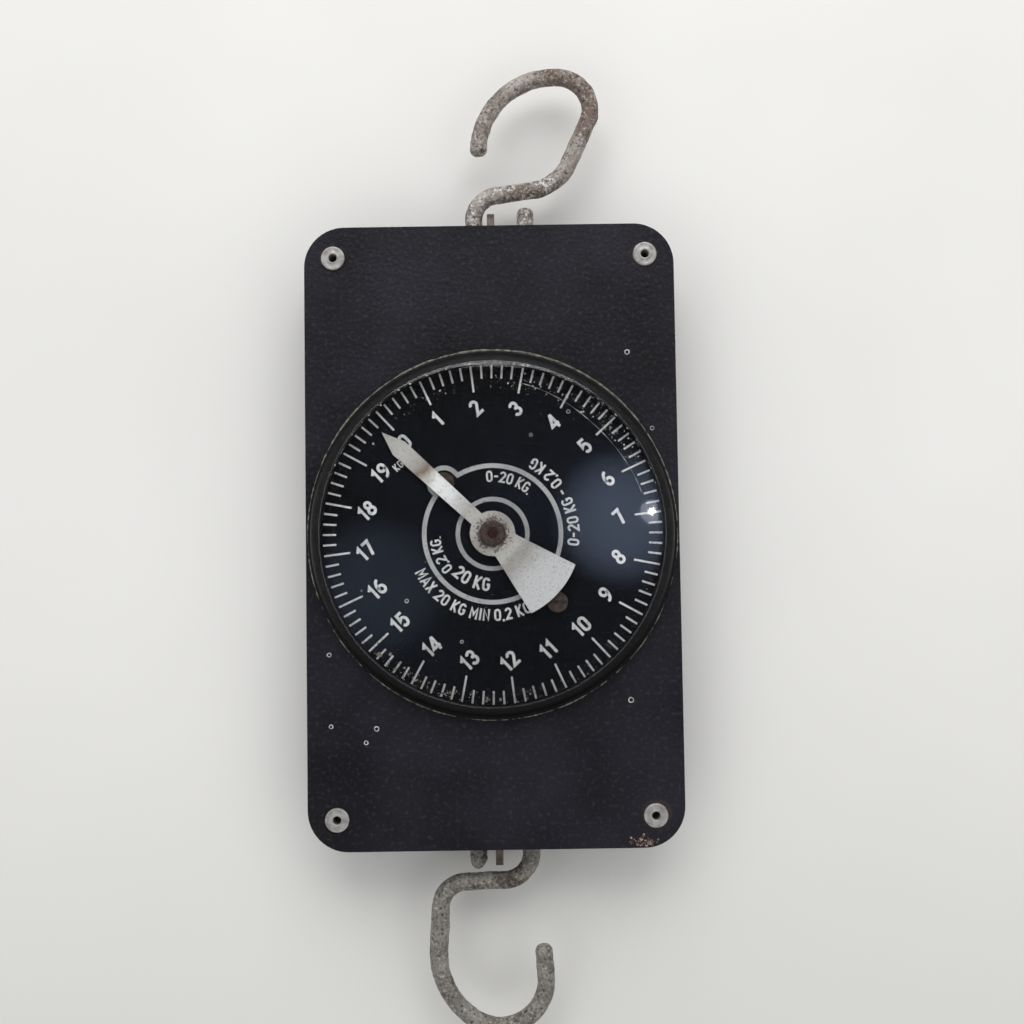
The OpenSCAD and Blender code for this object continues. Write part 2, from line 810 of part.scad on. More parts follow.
module spring() {
  r = spring_wire / 2 / cos(180 / sides);
  verts = [for (i = [0:n_rings - 1]) let (t = way(i), n = side_of(i), b = cross(t, n))
    for (k = [0:sides - 1]) points[i] + r * (cos(k * 360 / sides) * n + sin(k * 360 / sides) * b)];
  skin = [for (i = [0:n_rings - 2], k = [0:sides - 1])
    let (a = i * sides + k, b = i * sides + (k + 1) % sides)
    each [[a, a + sides, b], [b, a + sides, b + sides]]];
  caps = [for (k = [1:sides - 2]) each [[0, k, k + 1],
    [(n_rings - 1) * sides, (n_rings - 1) * sides + k + 1, (n_rings - 1) * sides + k]]];
  polyhedron(verts, concat(skin, caps), convexity = 10);
}

least = min([for (i = [0:n_rings - 1], j = [i + steps - 2:1:min(n_rings - 1, i + 2 * steps)])
  if (j < n_rings) norm(points[i] - points[j])]) - spring_wire;
echo(spring_gap_mm = least);

module spring_left() {
  color([0.6, 0.61, 0.63]) translate([-spring_x, -mid_d, 0]) spring();
}

module spring_right() {
  color([0.6, 0.61, 0.63]) translate([spring_x, -mid_d, 0]) spring();
}

top_hook();
back_plate();
side_band();
front_cover();
corner_spacers();
hollow_rivets();
dial_sheet();
dial_screws();
window();
movement_plate();
movement_pillars();
arbor_bushes();
rack_guide();
top_bar();
bar_rivets();
hanger_strap();
spring_left();
spring_right();
crosshead();
draw_strap();
rack();
pinion_arbor();
pointer();
pointer_boss();
load_hook();
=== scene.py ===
# %% [markdown]
# # A hanging weighing scale, dressed around its CAD frame
#
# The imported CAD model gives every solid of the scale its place: case, dial, window,
# springs, rack, pointer and hooks. This script keeps those places and adds what a
# solid can't show: rough wire, printed figures, worn enamel, dirt and light.
# Lengths in the code are millimetres until they are put into a mesh, which is in metres.

# %% Load the frame
import json

import bmesh
import bpy
import numpy as np
from mathutils import Matrix, Vector


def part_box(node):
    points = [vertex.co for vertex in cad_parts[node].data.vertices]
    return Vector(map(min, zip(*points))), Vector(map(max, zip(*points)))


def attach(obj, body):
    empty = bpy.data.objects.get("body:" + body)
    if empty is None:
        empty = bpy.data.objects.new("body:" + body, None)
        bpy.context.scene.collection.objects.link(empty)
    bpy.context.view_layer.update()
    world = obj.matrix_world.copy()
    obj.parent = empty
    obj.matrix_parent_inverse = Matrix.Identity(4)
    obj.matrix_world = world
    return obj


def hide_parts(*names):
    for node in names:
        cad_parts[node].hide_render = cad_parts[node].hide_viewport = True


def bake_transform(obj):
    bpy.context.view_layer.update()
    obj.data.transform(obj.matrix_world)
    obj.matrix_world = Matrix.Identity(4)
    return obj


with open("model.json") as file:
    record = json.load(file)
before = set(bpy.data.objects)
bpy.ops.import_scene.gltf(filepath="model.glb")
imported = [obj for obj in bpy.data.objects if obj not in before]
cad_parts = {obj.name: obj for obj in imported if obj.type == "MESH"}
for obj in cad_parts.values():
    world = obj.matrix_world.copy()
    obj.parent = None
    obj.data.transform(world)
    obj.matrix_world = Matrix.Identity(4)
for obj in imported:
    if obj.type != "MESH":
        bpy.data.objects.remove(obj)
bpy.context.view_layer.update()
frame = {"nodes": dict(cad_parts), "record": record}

nodes = frame["nodes"]

# %% [markdown]
# ## Places taken from the CAD
#
# Depth is counted from the back of the case, so y = -depth. The dial's own sizes come
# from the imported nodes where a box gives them, and the rest repeat the CAD values.


# %% Places
def depth_of(node):
    """How far a node reaches in front of the back, in mm: minus its lowest y."""
    return -1000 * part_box(node)[0].y


cover_d = 21.7  # front face of the cover
mid_d = 11.0  # middle plane, which holds both hooks and the springs
zero_a = -42.8  # the zero mark, in degrees clockwise from the top
rivet_x, rivet_z = 46.4, 82.7  # one rivet, which is repeated in all four quarters
outwards = np.array([0.0, -1.0, 0.0])  # out of the dial
face_d = depth_of("dial_sheet")
apex_d = depth_of("window")
print("front of the cover", cover_d, "dial face", round(face_d, 2), "window", round(apex_d, 2))

# %% [markdown]
# ## Meshes from arrays
#
# Every new piece is a grid of points worked out at once with numpy. A grid that closes
# on itself in both directions is a ring or a tube. Two directions are enough for the
# window, the wire, the springs and each printed line.


# %% Grids and pieces
def grid_faces(rows, columns, wrap_rows=False, wrap_columns=True):
    """Four-cornered faces between neighbours of a rows x columns grid of points."""
    i = np.arange(rows if wrap_rows else rows - 1)
    j = np.arange(columns if wrap_columns else columns - 1)
    i, j = (a.ravel() for a in np.meshgrid(i, j, indexing="ij"))
    i1, j1 = (i + 1) % rows, (j + 1) % columns
    return np.stack([i * columns + j, i * columns + j1, i1 * columns + j1, i1 * columns + j], 1)


def make_piece(name, points, faces, material, sharp=40):
    """A mesh object at the origin from points in mm. Doubles are merged, so poles close,
    normals are turned outwards, and edges sharper than `sharp` degrees stay crisp."""
    mesh = bpy.data.meshes.new(name)
    mesh.from_pydata((np.asarray(points) / 1000).tolist(), [], [list(f) for f in faces])
    work = bmesh.new()
    work.from_mesh(mesh)
    bmesh.ops.remove_doubles(work, verts=work.verts, dist=2e-7)
    bmesh.ops.recalc_face_normals(work, faces=work.faces)
    work.to_mesh(mesh)
    work.free()
    mesh.shade_smooth()
    mesh.set_sharp_from_angle(angle=np.radians(sharp))
    mesh.materials.append(material)
    piece = bpy.data.objects.new(name, mesh)
    bpy.context.scene.collection.objects.link(piece)
    print(name, len(mesh.vertices), "points")
    return piece


# %% [markdown]
# ## Materials
#
# Colours are written as sRGB hex, as a paint chart gives them, and one function turns
# them to the linear values that light is added up in. One function adds a node with its
# settings and links. Patterns read Object coordinates, which are metres, so a noise of
# scale 1000 / s has grains about s millimetres wide.


# %% Colours and nodes
def linear(hex_colour):
    """sRGB hex to linear RGBA: c / 12.92 for dark values, ((c + 0.055) / 1.055) ^ 2.4 above."""
    c = np.array([int(hex_colour[k : k + 2], 16) for k in (1, 3, 5)]) / 255
    c = np.where(c <= 0.04045, c / 12.92, ((c + 0.055) / 1.055) ** 2.4)
    return (*c.tolist(), 1.0)


def add(tree, kind, inputs=None, stops=None, **settings):
    """Adds one node. Settings are set by name. Each input is a plain value, a hex colour, or
    another node or one of its outputs, which is linked. Stops are a ramp's places and values."""
    node = tree.nodes.new(kind)
    for name, value in settings.items():
        setattr(node, name, value)
    for place, value in (inputs or {}).items():
        value = value.outputs[0] if isinstance(value, bpy.types.Node) else value
        if isinstance(value, bpy.types.NodeSocket):
            tree.links.new(value, node.inputs[place])
        else:
            node.inputs[place].default_value = linear(value) if isinstance(value, str) else value
    for k, (at, value) in enumerate(stops or []):
        band = node.color_ramp.elements
        point = band[k] if k < 2 else band.new(at)
        point.position = at
        point.color = linear(value) if isinstance(value, str) else (value, value, value, 1)
    return node


def begin(name):
    """A new material with an empty tree, and the Object coordinates that its patterns read."""
    material = bpy.data.materials.new(name)
    material.use_nodes = True
    material.node_tree.nodes.clear()
    return material, material.node_tree, add(material.node_tree, "ShaderNodeTexCoord").outputs["Object"]


def shade(tree, inputs):
    """The Principled shader that ends a material, with what its sockets get."""
    surface = add(tree, "ShaderNodeBsdfPrincipled", inputs)
    add(tree, "ShaderNodeOutputMaterial", {"Surface": surface})
    return surface


def see_through(tree, surface, amount, tint="#ffffff"):
    """Lets a finished surface give way to a clear, tinted one where amount is 1."""
    clear = add(tree, "ShaderNodeBsdfTransparent", {"Color": tint})
    mixed = add(tree, "ShaderNodeMixShader", {0: amount, 1: surface, 2: clear})
    tree.links.new(mixed.outputs[0], tree.nodes["Material Output"].inputs["Surface"])


print("mid grey in linear light:", round(linear("#808080")[0], 3))

# %% [markdown]
# ## Patterns that the finishes share
#
# Nearly every old finish is patchy, so one pattern serves all: a noise whose grains have
# a real width, and a ramp that turns it into two colours, or into how much of a second
# colour shows. Wear and dirt also depend on the place, so two more functions measure
# how far a point is from a spot and from the axis of the dial.


# %% Shared patterns
def patches(tree, place, size_mm, detail, stops, roughness=0.5):
    """A noise with grains about size_mm wide, and the ramp of its stops."""
    noise = {"Vector": place, "Scale": 1000 / size_mm, "Detail": detail, "Roughness": roughness}
    noise = add(tree, "ShaderNodeTexNoise", noise)
    return noise, add(tree, "ShaderNodeValToRGB", {0: noise}, stops)


def nearness(tree, place, spot, far, near, most=1.0):
    """`most` within `near` metres of a spot, falling evenly to 0 at `far`."""
    away = add(tree, "ShaderNodeVectorMath", {0: place, 1: spot}, operation="DISTANCE")
    return add(tree, "ShaderNodeMapRange", {0: away.outputs["Value"], 1: far, 2: near, 4: most})


def from_axis(tree, place):
    """Metres from the dial's axis: the length of (x, 0, z)."""
    flat = add(tree, "ShaderNodeVectorMath", {0: place, 1: (1, 0, 1)}, operation="MULTIPLY")
    return add(tree, "ShaderNodeVectorMath", {0: flat}, operation="LENGTH").outputs["Value"]


def patchy_finish(name, size_mm, detail, stops, inputs, relief=None):
    """A whole material with one pattern. Relief is the strength of a bump that follows the
    same noise, and its height in metres."""
    material, tree, place = begin(name)
    noise, film = patches(tree, place, size_mm, detail, stops)
    if relief:
        bump = {"Height": noise, "Strength": relief[0], "Distance": relief[1]}
        inputs = {**inputs, "Normal": add(tree, "ShaderNodeBump", bump)}
    shade(tree, {"Base Color": film, **inputs})
    return material


# %% [markdown]
# ## Black enamel of the case
#
# The case is steel sheet under a stoved black enamel. It was sprayed thickly and dries
# with an orange peel, grains about 1 mm wide, which scatter the light a little. A film
# this old is never one black: hands have polished some of it, and fine grey dust sits
# in the hollows. Round the four rivets a little rust has crept out from under the heads.

# %% Enamel of the case
case_enamel, tree, place = begin("stoved_black_enamel")
cloud, film = patches(tree, place, 38, 4.0, [(0.36, "#0b0a11"), (0.64, "#1c1b24")])
grain, dusty = patches(tree, place, 1.2, 5.0, [(0.54, 0.0), (0.74, 0.6)])
colour = add(tree, "ShaderNodeMix", {0: dusty, 6: film, 7: "#35343c"}, data_type="RGBA").outputs[2]

rivet_spot = (rivet_x / 1000, cover_d / 1000, rivet_z / 1000)
halo_end, head_edge = 0.0058, 0.0036  # metres from the rivet's middle
quarter = add(tree, "ShaderNodeVectorMath", {0: place}, operation="ABSOLUTE")
close = nearness(tree, quarter, rivet_spot, halo_end, head_edge, 0.3)
spread = add(tree, "ShaderNodeMath", {0: cloud, 1: close}, operation="ADD")
halo = add(tree, "ShaderNodeValToRGB", {0: spread}, [(0.7, 0.0), (0.92, 0.42)])
colour = add(tree, "ShaderNodeMix", {0: halo, 6: colour, 7: "#4a3a31"}, data_type="RGBA").outputs[2]

hands = add(tree, "ShaderNodeTexNoise", {"Vector": place, "Scale": 1000 / 16, "Detail": 5.0})
polish = add(tree, "ShaderNodeMapRange", {0: hands, 1: 0.35, 2: 0.65, 3: 0.46, 4: 0.6})
peel = add(tree, "ShaderNodeTexNoise", {"Vector": place, "Scale": 1000 / 1.1, "Detail": 2.0})
relief = add(tree, "ShaderNodeBump", {"Height": peel, "Strength": 1.0, "Distance": 0.0002})
shade(tree, {"Base Color": colour, "Roughness": polish, "Normal": relief, "Specular IOR Level": 0.2})
print("enamel nodes:", len(tree.nodes))

# %% [markdown]
# ## Lacquered dial and its ink
#
# The dial is a sheet lacquered in a deeper, glossier black with a blue cast. Dirt has
# crept in under the window and lies thickest at the rim, so the stain is a noise times
# the distance from the dial's axis. The ink is also painted darker towards the bottom, a
# painted shade for the rim's shadow. The scale is printed in an off-white ink that has
# greyed and worn in spots. The two rings have faded most and the small marks less, so
# each has its own two greys.

# %% Lacquer and its dirt, and a painted shade towards the bottom
stain_starts, stain_full = 0.043, 0.051  # metres from the axis
# Painted shade: below these heights the ink and the rim paint are painted darker towards the bottom.
shade_starts_z, shade_full_z = -0.02, -0.048  # metres above the axis


def rim_stain(tree, place, grain_mm, low, high, most):
    """Dirt from 0 to most: a noise cut at low..high, times how near a point is to the rim."""
    near_rim = {0: from_axis(tree, place), 1: stain_starts, 2: stain_full, 4: most}
    near_rim = add(tree, "ShaderNodeMapRange", near_rim)
    grain = {"Vector": place, "Scale": 1000 / grain_mm, "Detail": 6.0}
    grain = add(tree, "ShaderNodeTexNoise", grain)
    dirt = add(tree, "ShaderNodeMapRange", {0: grain, 1: low, 2: high})
    return add(tree, "ShaderNodeMath", {0: near_rim, 1: dirt}, operation="MULTIPLY")


def settled_dirt(tree, place, most):
    """Painted shade towards the bottom: 0 down to where it starts, growing to `most` where it is full.
    """
    height = add(tree, "ShaderNodeSeparateXYZ", {0: place}).outputs["Z"]
    return add(tree, "ShaderNodeMapRange", {0: height, 1: shade_starts_z, 2: shade_full_z, 4: most})


dial_lacquer, tree, place = begin("gloss_black_lacquer")
_, film = patches(tree, place, 34, 3.0, [(0.35, "#090a0e"), (0.65, "#0f121a")])
_, specks = patches(tree, place, 0.8, 3.0, [(0.64, 0.0), (0.76, 0.35)])
colour = add(tree, "ShaderNodeMix", {0: specks, 6: film, 7: "#4b4d54"}, data_type="RGBA").outputs[2]
stain = rim_stain(tree, place, 1.2, 0.54, 0.78, 0.6)
colour = add(tree, "ShaderNodeMix", {0: stain, 6: colour, 7: "#4d4438"}, data_type="RGBA").outputs[2]
shade(tree, {"Base Color": colour, "Roughness": 0.26, "Specular IOR Level": 0.1})


# %% Three inks
def printing_ink(name, fresh, faded):
    """Ink from fresh to faded by a 9 mm noise, with spots of wear, dirt at the rim and a painted shade
    at the bottom.
    """
    material, tree, place = begin(name)
    _, colour = patches(tree, place, 9, 4.0, [(0.4, fresh), (0.62, faded)])
    _, wear_and_painted_bend_light = patches(tree, place, 0.9, 5.0, [(0.55, 0.0), (0.75, 0.7)])
    stain = rim_stain(tree, place, 2.2, 0.48, 0.74, 0.55)
    # Painted shade: the ink is painted darker towards the bottom, for the shadow of the rim.
    bottom_shade = settled_dirt(tree, place, 0.45)
    for amount, over in ((wear_and_painted_bend_light, "#4a4a4c"), (stain, "#5b5449"), (bottom_shade, "#3c3934")):
        colour = add(tree, "ShaderNodeMix", {0: amount, 6: colour, 7: over}, data_type="RGBA").outputs[2]
    shade(tree, {"Base Color": colour, "Roughness": 0.5})
    return material


scale_ink = printing_ink("off_white_printing_ink", "#dad9db", "#c3c2c5")
ring_ink = printing_ink("faded_printing_ink", "#a8a7a9", "#949396")
small_ink = printing_ink("pale_printing_ink", "#cccbcd", "#b4b3b6")
print("inks:", [ink.name for ink in (scale_ink, ring_ink, small_ink)])

# %% [markdown]
# ## Weathered wire
#
# The hooks are steel wire, zinc coated long ago. The zinc has gone chalky, with pale
# flecks, dark pits and brown rust that starts where the wire was bent and rubbed. Four
# noises of different grain give these, and pits and flecks are also in the relief. The
# load hook has been handled more and is greyer, so the two hooks share one recipe with
# colours of their own.


# %% Wire of both hooks
def weathered_wire(name, zinc, chalk, rust, fleck, rust_from, rust_at, crust_at, crust_reach):
    """Zinc and chalk by a 6 mm noise, rust where a 9 mm noise passes rust_from and round the
    spot rust_at, then flecks and pits of about half a millimetre, which the relief follows.
    Round crust_at the zinc has grown a white crust, broken up by a finer noise."""
    material, tree, place = begin(name)
    _, skin = patches(tree, place, 6, 7.0, [(0.38, zinc), (0.64, chalk)])
    far = {"Vector": place, "Scale": 1000 / 9, "Detail": 8.0, "Roughness": 0.65}
    far = add(tree, "ShaderNodeTexNoise", far)
    handled = nearness(tree, place, rust_at, 0.017, 0.004, 0.2)
    far = add(tree, "ShaderNodeMath", {0: far, 1: handled}, operation="ADD")
    browned = add(tree, "ShaderNodeValToRGB", {0: far}, [(rust_from, 0.0), (rust_from + 0.1, 0.8)])
    colour = add(tree, "ShaderNodeMix", {0: browned, 6: skin, 7: rust}, data_type="RGBA").outputs[2]
    grain, flecks = patches(tree, place, 0.9, 4.0, [(0.56, 0.0), (0.68, 0.6)], 0.6)
    crumbs = {"Vector": place, "Scale": 1000 / 1.4, "Detail": 8.0, "Roughness": 0.7}
    crumbs = add(tree, "ShaderNodeTexNoise", crumbs)
    crumbs = add(tree, "ShaderNodeMapRange", {0: crumbs, 1: 0.51, 2: 0.6})
    close = nearness(tree, place, crust_at, *crust_reach)
    crust = add(tree, "ShaderNodeMath", {0: close, 1: crumbs}, operation="MULTIPLY")
    pale = add(tree, "ShaderNodeMath", {0: crust, 1: flecks}, operation="MAXIMUM")
    pits = add(tree, "ShaderNodeValToRGB", {0: grain}, [(0.35, 0.95), (0.45, 0.0)])
    for amount, over in ((pale, fleck), (pits, "#2b2320")):
        colour = add(tree, "ShaderNodeMix", {0: amount, 6: colour, 7: over}, data_type="RGBA").outputs[2]
    dull = add(tree, "ShaderNodeMapRange", {0: browned, 3: 0.42, 4: 0.75})
    relief = add(tree, "ShaderNodeBump", {"Height": grain, "Strength": 1.0, "Distance": 0.0006})
    shade(tree, {"Base Color": colour, "Roughness": dull, "Metallic": 0.25, "Normal": relief})
    return material


upper_bow, throat = (0.031, -0.0135, 0.135), (0.006, -0.0135, 0.104)
hanging_wire = weathered_wire(
    "weathered_zinc_wire", "#7d726b", "#a29a94", "#68564c", "#d8d6d3", 0.53,
    upper_bow, throat, (0.021, 0.012),
)
neck, low_run = (0.005, -0.0115, -0.106), (-0.004, -0.0145, -0.112)
handled_wire = weathered_wire(
    "handled_zinc_wire", "#6c6862", "#87847e", "#3d2f27", "#c9c6c0", 0.57,
    neck, low_run, (0.012, 0.004),
)
print("wire nodes:", len(hanging_wire.node_tree.nodes))

# %% [markdown]
# ## Satin pointer
#
# The pointer is stamped from sheet and plated to a satin grey. Its colour along the arm
# carries painted light and shade of its bends: a painted highlight where the arm is bent
# towards the glass, a painted brown shade in a band beyond the bend and on the fan near
# the hub, and real dirt round the boss. These places lie along the arm, so a ramp reads
# how far a point is from the axis in the arm's direction, over a fine satin grain.

# %% Plating of the pointer, with painted light and shade of its bends
arm_way = (-0.729, 0.0, 0.6845)  # the arm's direction at rest
fan_end, tip_end = -0.027, 0.045  # metres from the axis along it
pointer_metal, tree, place = begin("satin_plated_stamping")
along = add(tree, "ShaderNodeVectorMath", {0: place, 1: arm_way}, operation="DOT_PRODUCT")
along = along.outputs["Value"]
shift = add(tree, "ShaderNodeTexNoise", {"Vector": place, "Scale": 1000 / 5, "Detail": 4.0})
shift = add(tree, "ShaderNodeMapRange", {0: shift, 3: -0.003, 4: 0.003})
along = add(tree, "ShaderNodeMath", {0: along, 1: shift}, operation="ADD")
share = add(tree, "ShaderNodeMapRange", {0: along, 1: fan_end, 2: tip_end})
# Painted highlight and painted shade: lighter on the slope of the bend, darker in a brown band beyond it
# and on the fan near the hub.
wear_and_painted_bend_light = add(
    tree, "ShaderNodeValToRGB", {0: share},
    [
        (0.0, "#c9c9cc"), (0.14, "#c0c0c3"), (0.235, "#9f9a97"), (0.27, "#b6b3b1"), (0.375, "#948e8a"),
        (0.47, "#b6b3b0"), (0.52, "#afaca9"), (0.6, "#d9d9db"), (0.69, "#e0e1e3"), (0.72, "#b3aea9"),
        (0.75, "#7b6c63"), (0.79, "#9f9995"), (0.86, "#b5b2b0"), (1.0, "#a7a5a2"),
    ],
)
grain, dirty = patches(tree, place, 0.7, 4.0, [(0.52, 0.0), (0.72, 0.42)])
colour = add(tree, "ShaderNodeMix", {0: dirty, 6: wear_and_painted_bend_light, 7: "#75706c"}, data_type="RGBA").outputs[2]

grime_end, boss_edge = 0.0062, 0.0036  # metres from the axis
close = {0: from_axis(tree, place), 1: grime_end, 2: boss_edge, 4: 0.24}
close = add(tree, "ShaderNodeMapRange", close)
crumbs = add(tree, "ShaderNodeTexNoise", {"Vector": place, "Scale": 1000 / 0.6, "Detail": 5.0})
crumbs = add(tree, "ShaderNodeMath", {0: crumbs, 1: close}, operation="ADD")
grime = add(tree, "ShaderNodeValToRGB", {0: crumbs}, [(0.62, 0.0), (0.72, 0.85)])
colour = add(tree, "ShaderNodeMix", {0: grime, 6: colour, 7: "#3f3430"}, data_type="RGBA").outputs[2]
satin = add(tree, "ShaderNodeMapRange", {0: shift, 1: -0.003, 2: 0.003, 3: 0.36, 4: 0.56})
relief = add(tree, "ShaderNodeBump", {"Height": grain, "Strength": 0.35, "Distance": 0.0001})
shade(tree, {"Base Color": colour, "Roughness": satin, "Metallic": 0.22, "Normal": relief})
print("pointer nodes:", len(tree.nodes))

# %% [markdown]
# ## Other metals
#
# The eyelets are turned from soft dull metal. Screws and boss have rusted to a dark
# brown. The drive inside only shows through the slots of the hooks: oiled mild steel for
# straps and bars, painted darker as a painted shade of the case over them, drawn spring
# steel, brass for plate and rack, and zinc-plated spacers.
# The brass arbor is browned at its tip, which stands out of the boss.

# %% Inner metals, and the finish of every slot
rivet_metal = patchy_finish(
    "turned_eyelet_metal", 1.8, 5.0, [(0.38, "#8b8884"), (0.6, "#a9a8a6")],
    {"Roughness": 0.45, "Metallic": 0.45}, (0.5, 0.00015),
)
rusty_steel = patchy_finish(
    "dark_brown_rust", 1.3, 6.0, [(0.38, "#231a17"), (0.64, "#48362f")],
    {"Roughness": 0.75, "Metallic": 0.1}, (0.9, 0.0002),
)
# Painted shade: this steel is painted darker than bare oiled steel, for the case's shadow over the
# straps.
strap_steel = patchy_finish(
    "oiled_mild_steel_painted_shade", 3, 6.0, [(0.4, "#5f5750"), (0.64, "#3d322b")],
    {"Roughness": 0.5, "Metallic": 0.6}, (0.5, 0.00015),
)
spring_steel = patchy_finish(
    "drawn_spring_steel", 5, 4.0, [(0.4, "#8a8c90"), (0.62, "#5e5f63")],
    {"Roughness": 0.35, "Metallic": 0.9},
)
plated_steel = patchy_finish(
    "zinc_plated_steel", 4, 4.0, [(0.4, "#9fa3a8"), (0.62, "#777a80")],
    {"Roughness": 0.4, "Metallic": 0.8},
)

brass, tree, place = begin("dull_brass")
_, yellow = patches(tree, place, 4, 5.0, [(0.4, "#7d6334"), (0.62, "#b08d45")])
tip_starts, tip_full = 0.0225, 0.0235  # metres in front of the back
ahead = add(tree, "ShaderNodeVectorMath", {0: place, 1: outwards}, operation="DOT_PRODUCT")
tip = add(tree, "ShaderNodeMapRange", {0: ahead.outputs["Value"], 1: tip_starts, 2: tip_full})
colour = add(tree, "ShaderNodeMix", {0: tip, 6: yellow, 7: "#3a2420"}, data_type="RGBA").outputs[2]
shade(tree, {"Base Color": colour, "Roughness": 0.42, "Metallic": 0.85})

finish_of = {
    "case_enamel": case_enamel, "plated_steel": plated_steel, "rivet_metal": rivet_metal,
    "dial_black": dial_lacquer, "rusty_steel": rusty_steel, "brass": brass,
    "strap_steel": strap_steel, "pointer_metal": pointer_metal, "spring_steel": spring_steel,
    "hook_wire": hanging_wire,
}
for part in frame["record"]["subparts"]:
    finish = finish_of.get(part["material_slot"])
    if finish is not None:
        nodes[part["node"]].data.materials.clear()
        nodes[part["node"]].data.materials.append(finish)
print("finishes:", len(finish_of))

# %% [markdown]
# ## Rough wire of the two hooks
#
# A hook is one length of wire bent to a chain of arcs and straights. The CAD gives the
# chain; here the same chain is walked as points, and a ring of points is set round each.
# Wire of this age is nowhere round, so three smooth random fields lift and sink its skin
# by about a tenth of a millimetre, and it is thicker where the zinc has run. The ends
# were cut and then worn round.


# %% Lines, skins and ends
def chain(spot, heading, run, step=0.35):
    """Points every `step` mm along arcs and straights: [radius, degrees] turns left for a
    plus angle and right for a minus one, and [0, length] goes straight on."""
    spot = np.array(spot, float)
    line = [spot[None]]
    for radius, amount in run:
        n = max(2, int((np.radians(abs(amount)) * radius if radius else amount) / step))
        t = np.arange(1, n + 1)[:, None] / n
        h = np.radians(heading)
        if radius:
            side = np.sign(amount)
            centre = spot + side * radius * np.array([-np.sin(h), np.cos(h)])
            turned = h + np.radians(amount) * t
            part = centre - side * radius * np.hstack([-np.sin(turned), np.cos(turned)])
            heading += amount
        else:
            part = spot + amount * t * np.array([np.cos(h), np.sin(h)])
        line.append(part)
        spot = part[-1]
    return np.vstack(line)


def smooth_field(points, size_mm, seed, waves=40):
    """A smooth random number from about -1 to 1 at each point: the sum of plane waves of
    random direction and phase, about size_mm long, over the square root of their count."""
    draw = np.random.default_rng(seed)
    way = draw.normal(size=(3, waves))
    way *= draw.uniform(0.6, 1.6, waves) * 2 * np.pi / size_mm / np.linalg.norm(way, axis=0)
    return np.sin(points @ way + draw.uniform(0, 2 * np.pi, waves)).sum(1) / np.sqrt(waves)


def skin_of(line, radius, side, sides=40):
    """Rings round a line: each point of a ring is line + radius * (cos t * side + sin t * third)."""
    way = np.gradient(line, axis=0)
    way /= np.linalg.norm(way, axis=1)[:, None]
    side = side - (side * way).sum(1)[:, None] * way
    side /= np.linalg.norm(side, axis=1)[:, None]
    third = np.cross(way, side)
    t = np.linspace(0, 2 * np.pi, sides, endpoint=False)
    ring = side[:, None] * np.cos(t)[:, None] + third[:, None] * np.sin(t)[:, None]
    return line[:, None] + radius[:, None, None] * ring, ring


def capped(skin):
    """Points and faces of a tube of rings, with a point in the middle of each end to close it."""
    rows, columns = skin.shape[:2]
    j = np.arange(columns)
    start = np.stack([0 * j + rows * columns, (j + 1) % columns, j], 1)
    base = (rows - 1) * columns
    stop = np.stack([0 * j + rows * columns + 1, base + j, base + (j + 1) % columns], 1)
    points = np.vstack([skin.reshape(-1, 3), skin[0].mean(0), skin[-1].mean(0)])
    return points, [*grid_faces(rows, columns).tolist(), *start.tolist(), *stop.tolist()]


# %% The two hooks
wire_r, end_round = 2.6, 2.3


def wire_hook(name, flat, body, finish, seed, thicker=(0, 1, 0.0)):
    """The rough wire of one hook: a tube on the chain. Near an end its radius falls as a
    quarter circle, and `thicker` gives a place along the wire, a length and a growth in mm."""
    line = np.column_stack([flat[:, 0], np.full(len(flat), -mid_d), flat[:, 1]])
    along = np.append(0, np.cumsum(np.linalg.norm(np.diff(line, axis=0), axis=1)))
    short = np.clip(end_round - np.minimum(along, along[-1] - along), 0, end_round)
    radius = wire_r - end_round + np.sqrt(end_round**2 - short**2)
    place, length, growth = thicker
    radius += growth * np.exp(-(((along - place) / length) ** 2))
    skin, ring = skin_of(line, radius, outwards)
    spots = skin.reshape(-1, 3)
    rough = 0.07 * smooth_field(spots, 6, seed) + 0.045 * smooth_field(spots, 2.4, seed + 1)
    rough += 0.02 * smooth_field(spots, 1.1, seed + 2)
    skin = skin + rough.reshape(skin.shape[:2])[..., None] * ring
    hook = make_piece(name, *capped(skin), finish, sharp=75)
    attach(hook, body)
    return hook


top_line = chain(
    (11.05, 100.2), -88,
    [[0, 3.7], [7.9, -264.3], [0, 11.5], [14.5, 57.5], [0, 13.88], [10, 109.5], [23.2, 98.5]],
)
top_wire = wire_hook("top_hook_wire", top_line, "hanger", hanging_wire, 11)
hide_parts("top_hook")
load_line = chain(
    (-4.35, -98.8), 136,
    [[4, -30.8], [7.9, -283], [0, 12.5], [7.4, 84.5], [0, 12.8], [22.3, 65.5], [13.6, 122], [0, 9.4]],
)
load_wire = wire_hook("load_hook_wire", load_line, "load", handled_wire, 23, (74, 12, 0.2))
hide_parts("load_hook")

# %% [markdown]
# ## Springs
#
# Two round-wire extension springs hang in the case. A spring is a helix, with a run-in
# at both ends where the wire winds in to the axis, and a foot that hooks over the bar.
# The part between the bars stretches when the load hook is pulled.

# %% Line of a spring
spring_x, spring_mean_r, spring_wire_r = 32.0, 7.5, 1.1
turns, rise = 22, 3.0  # rise of each turn
bar_z, bar_t, cross_z = 60.0, 3.0, -26.0
run_in, foot = 7.0, 5.0
coil_top = (bar_z + cross_z + turns * rise) / 2
middle_z = (bar_z + cross_z) / 2


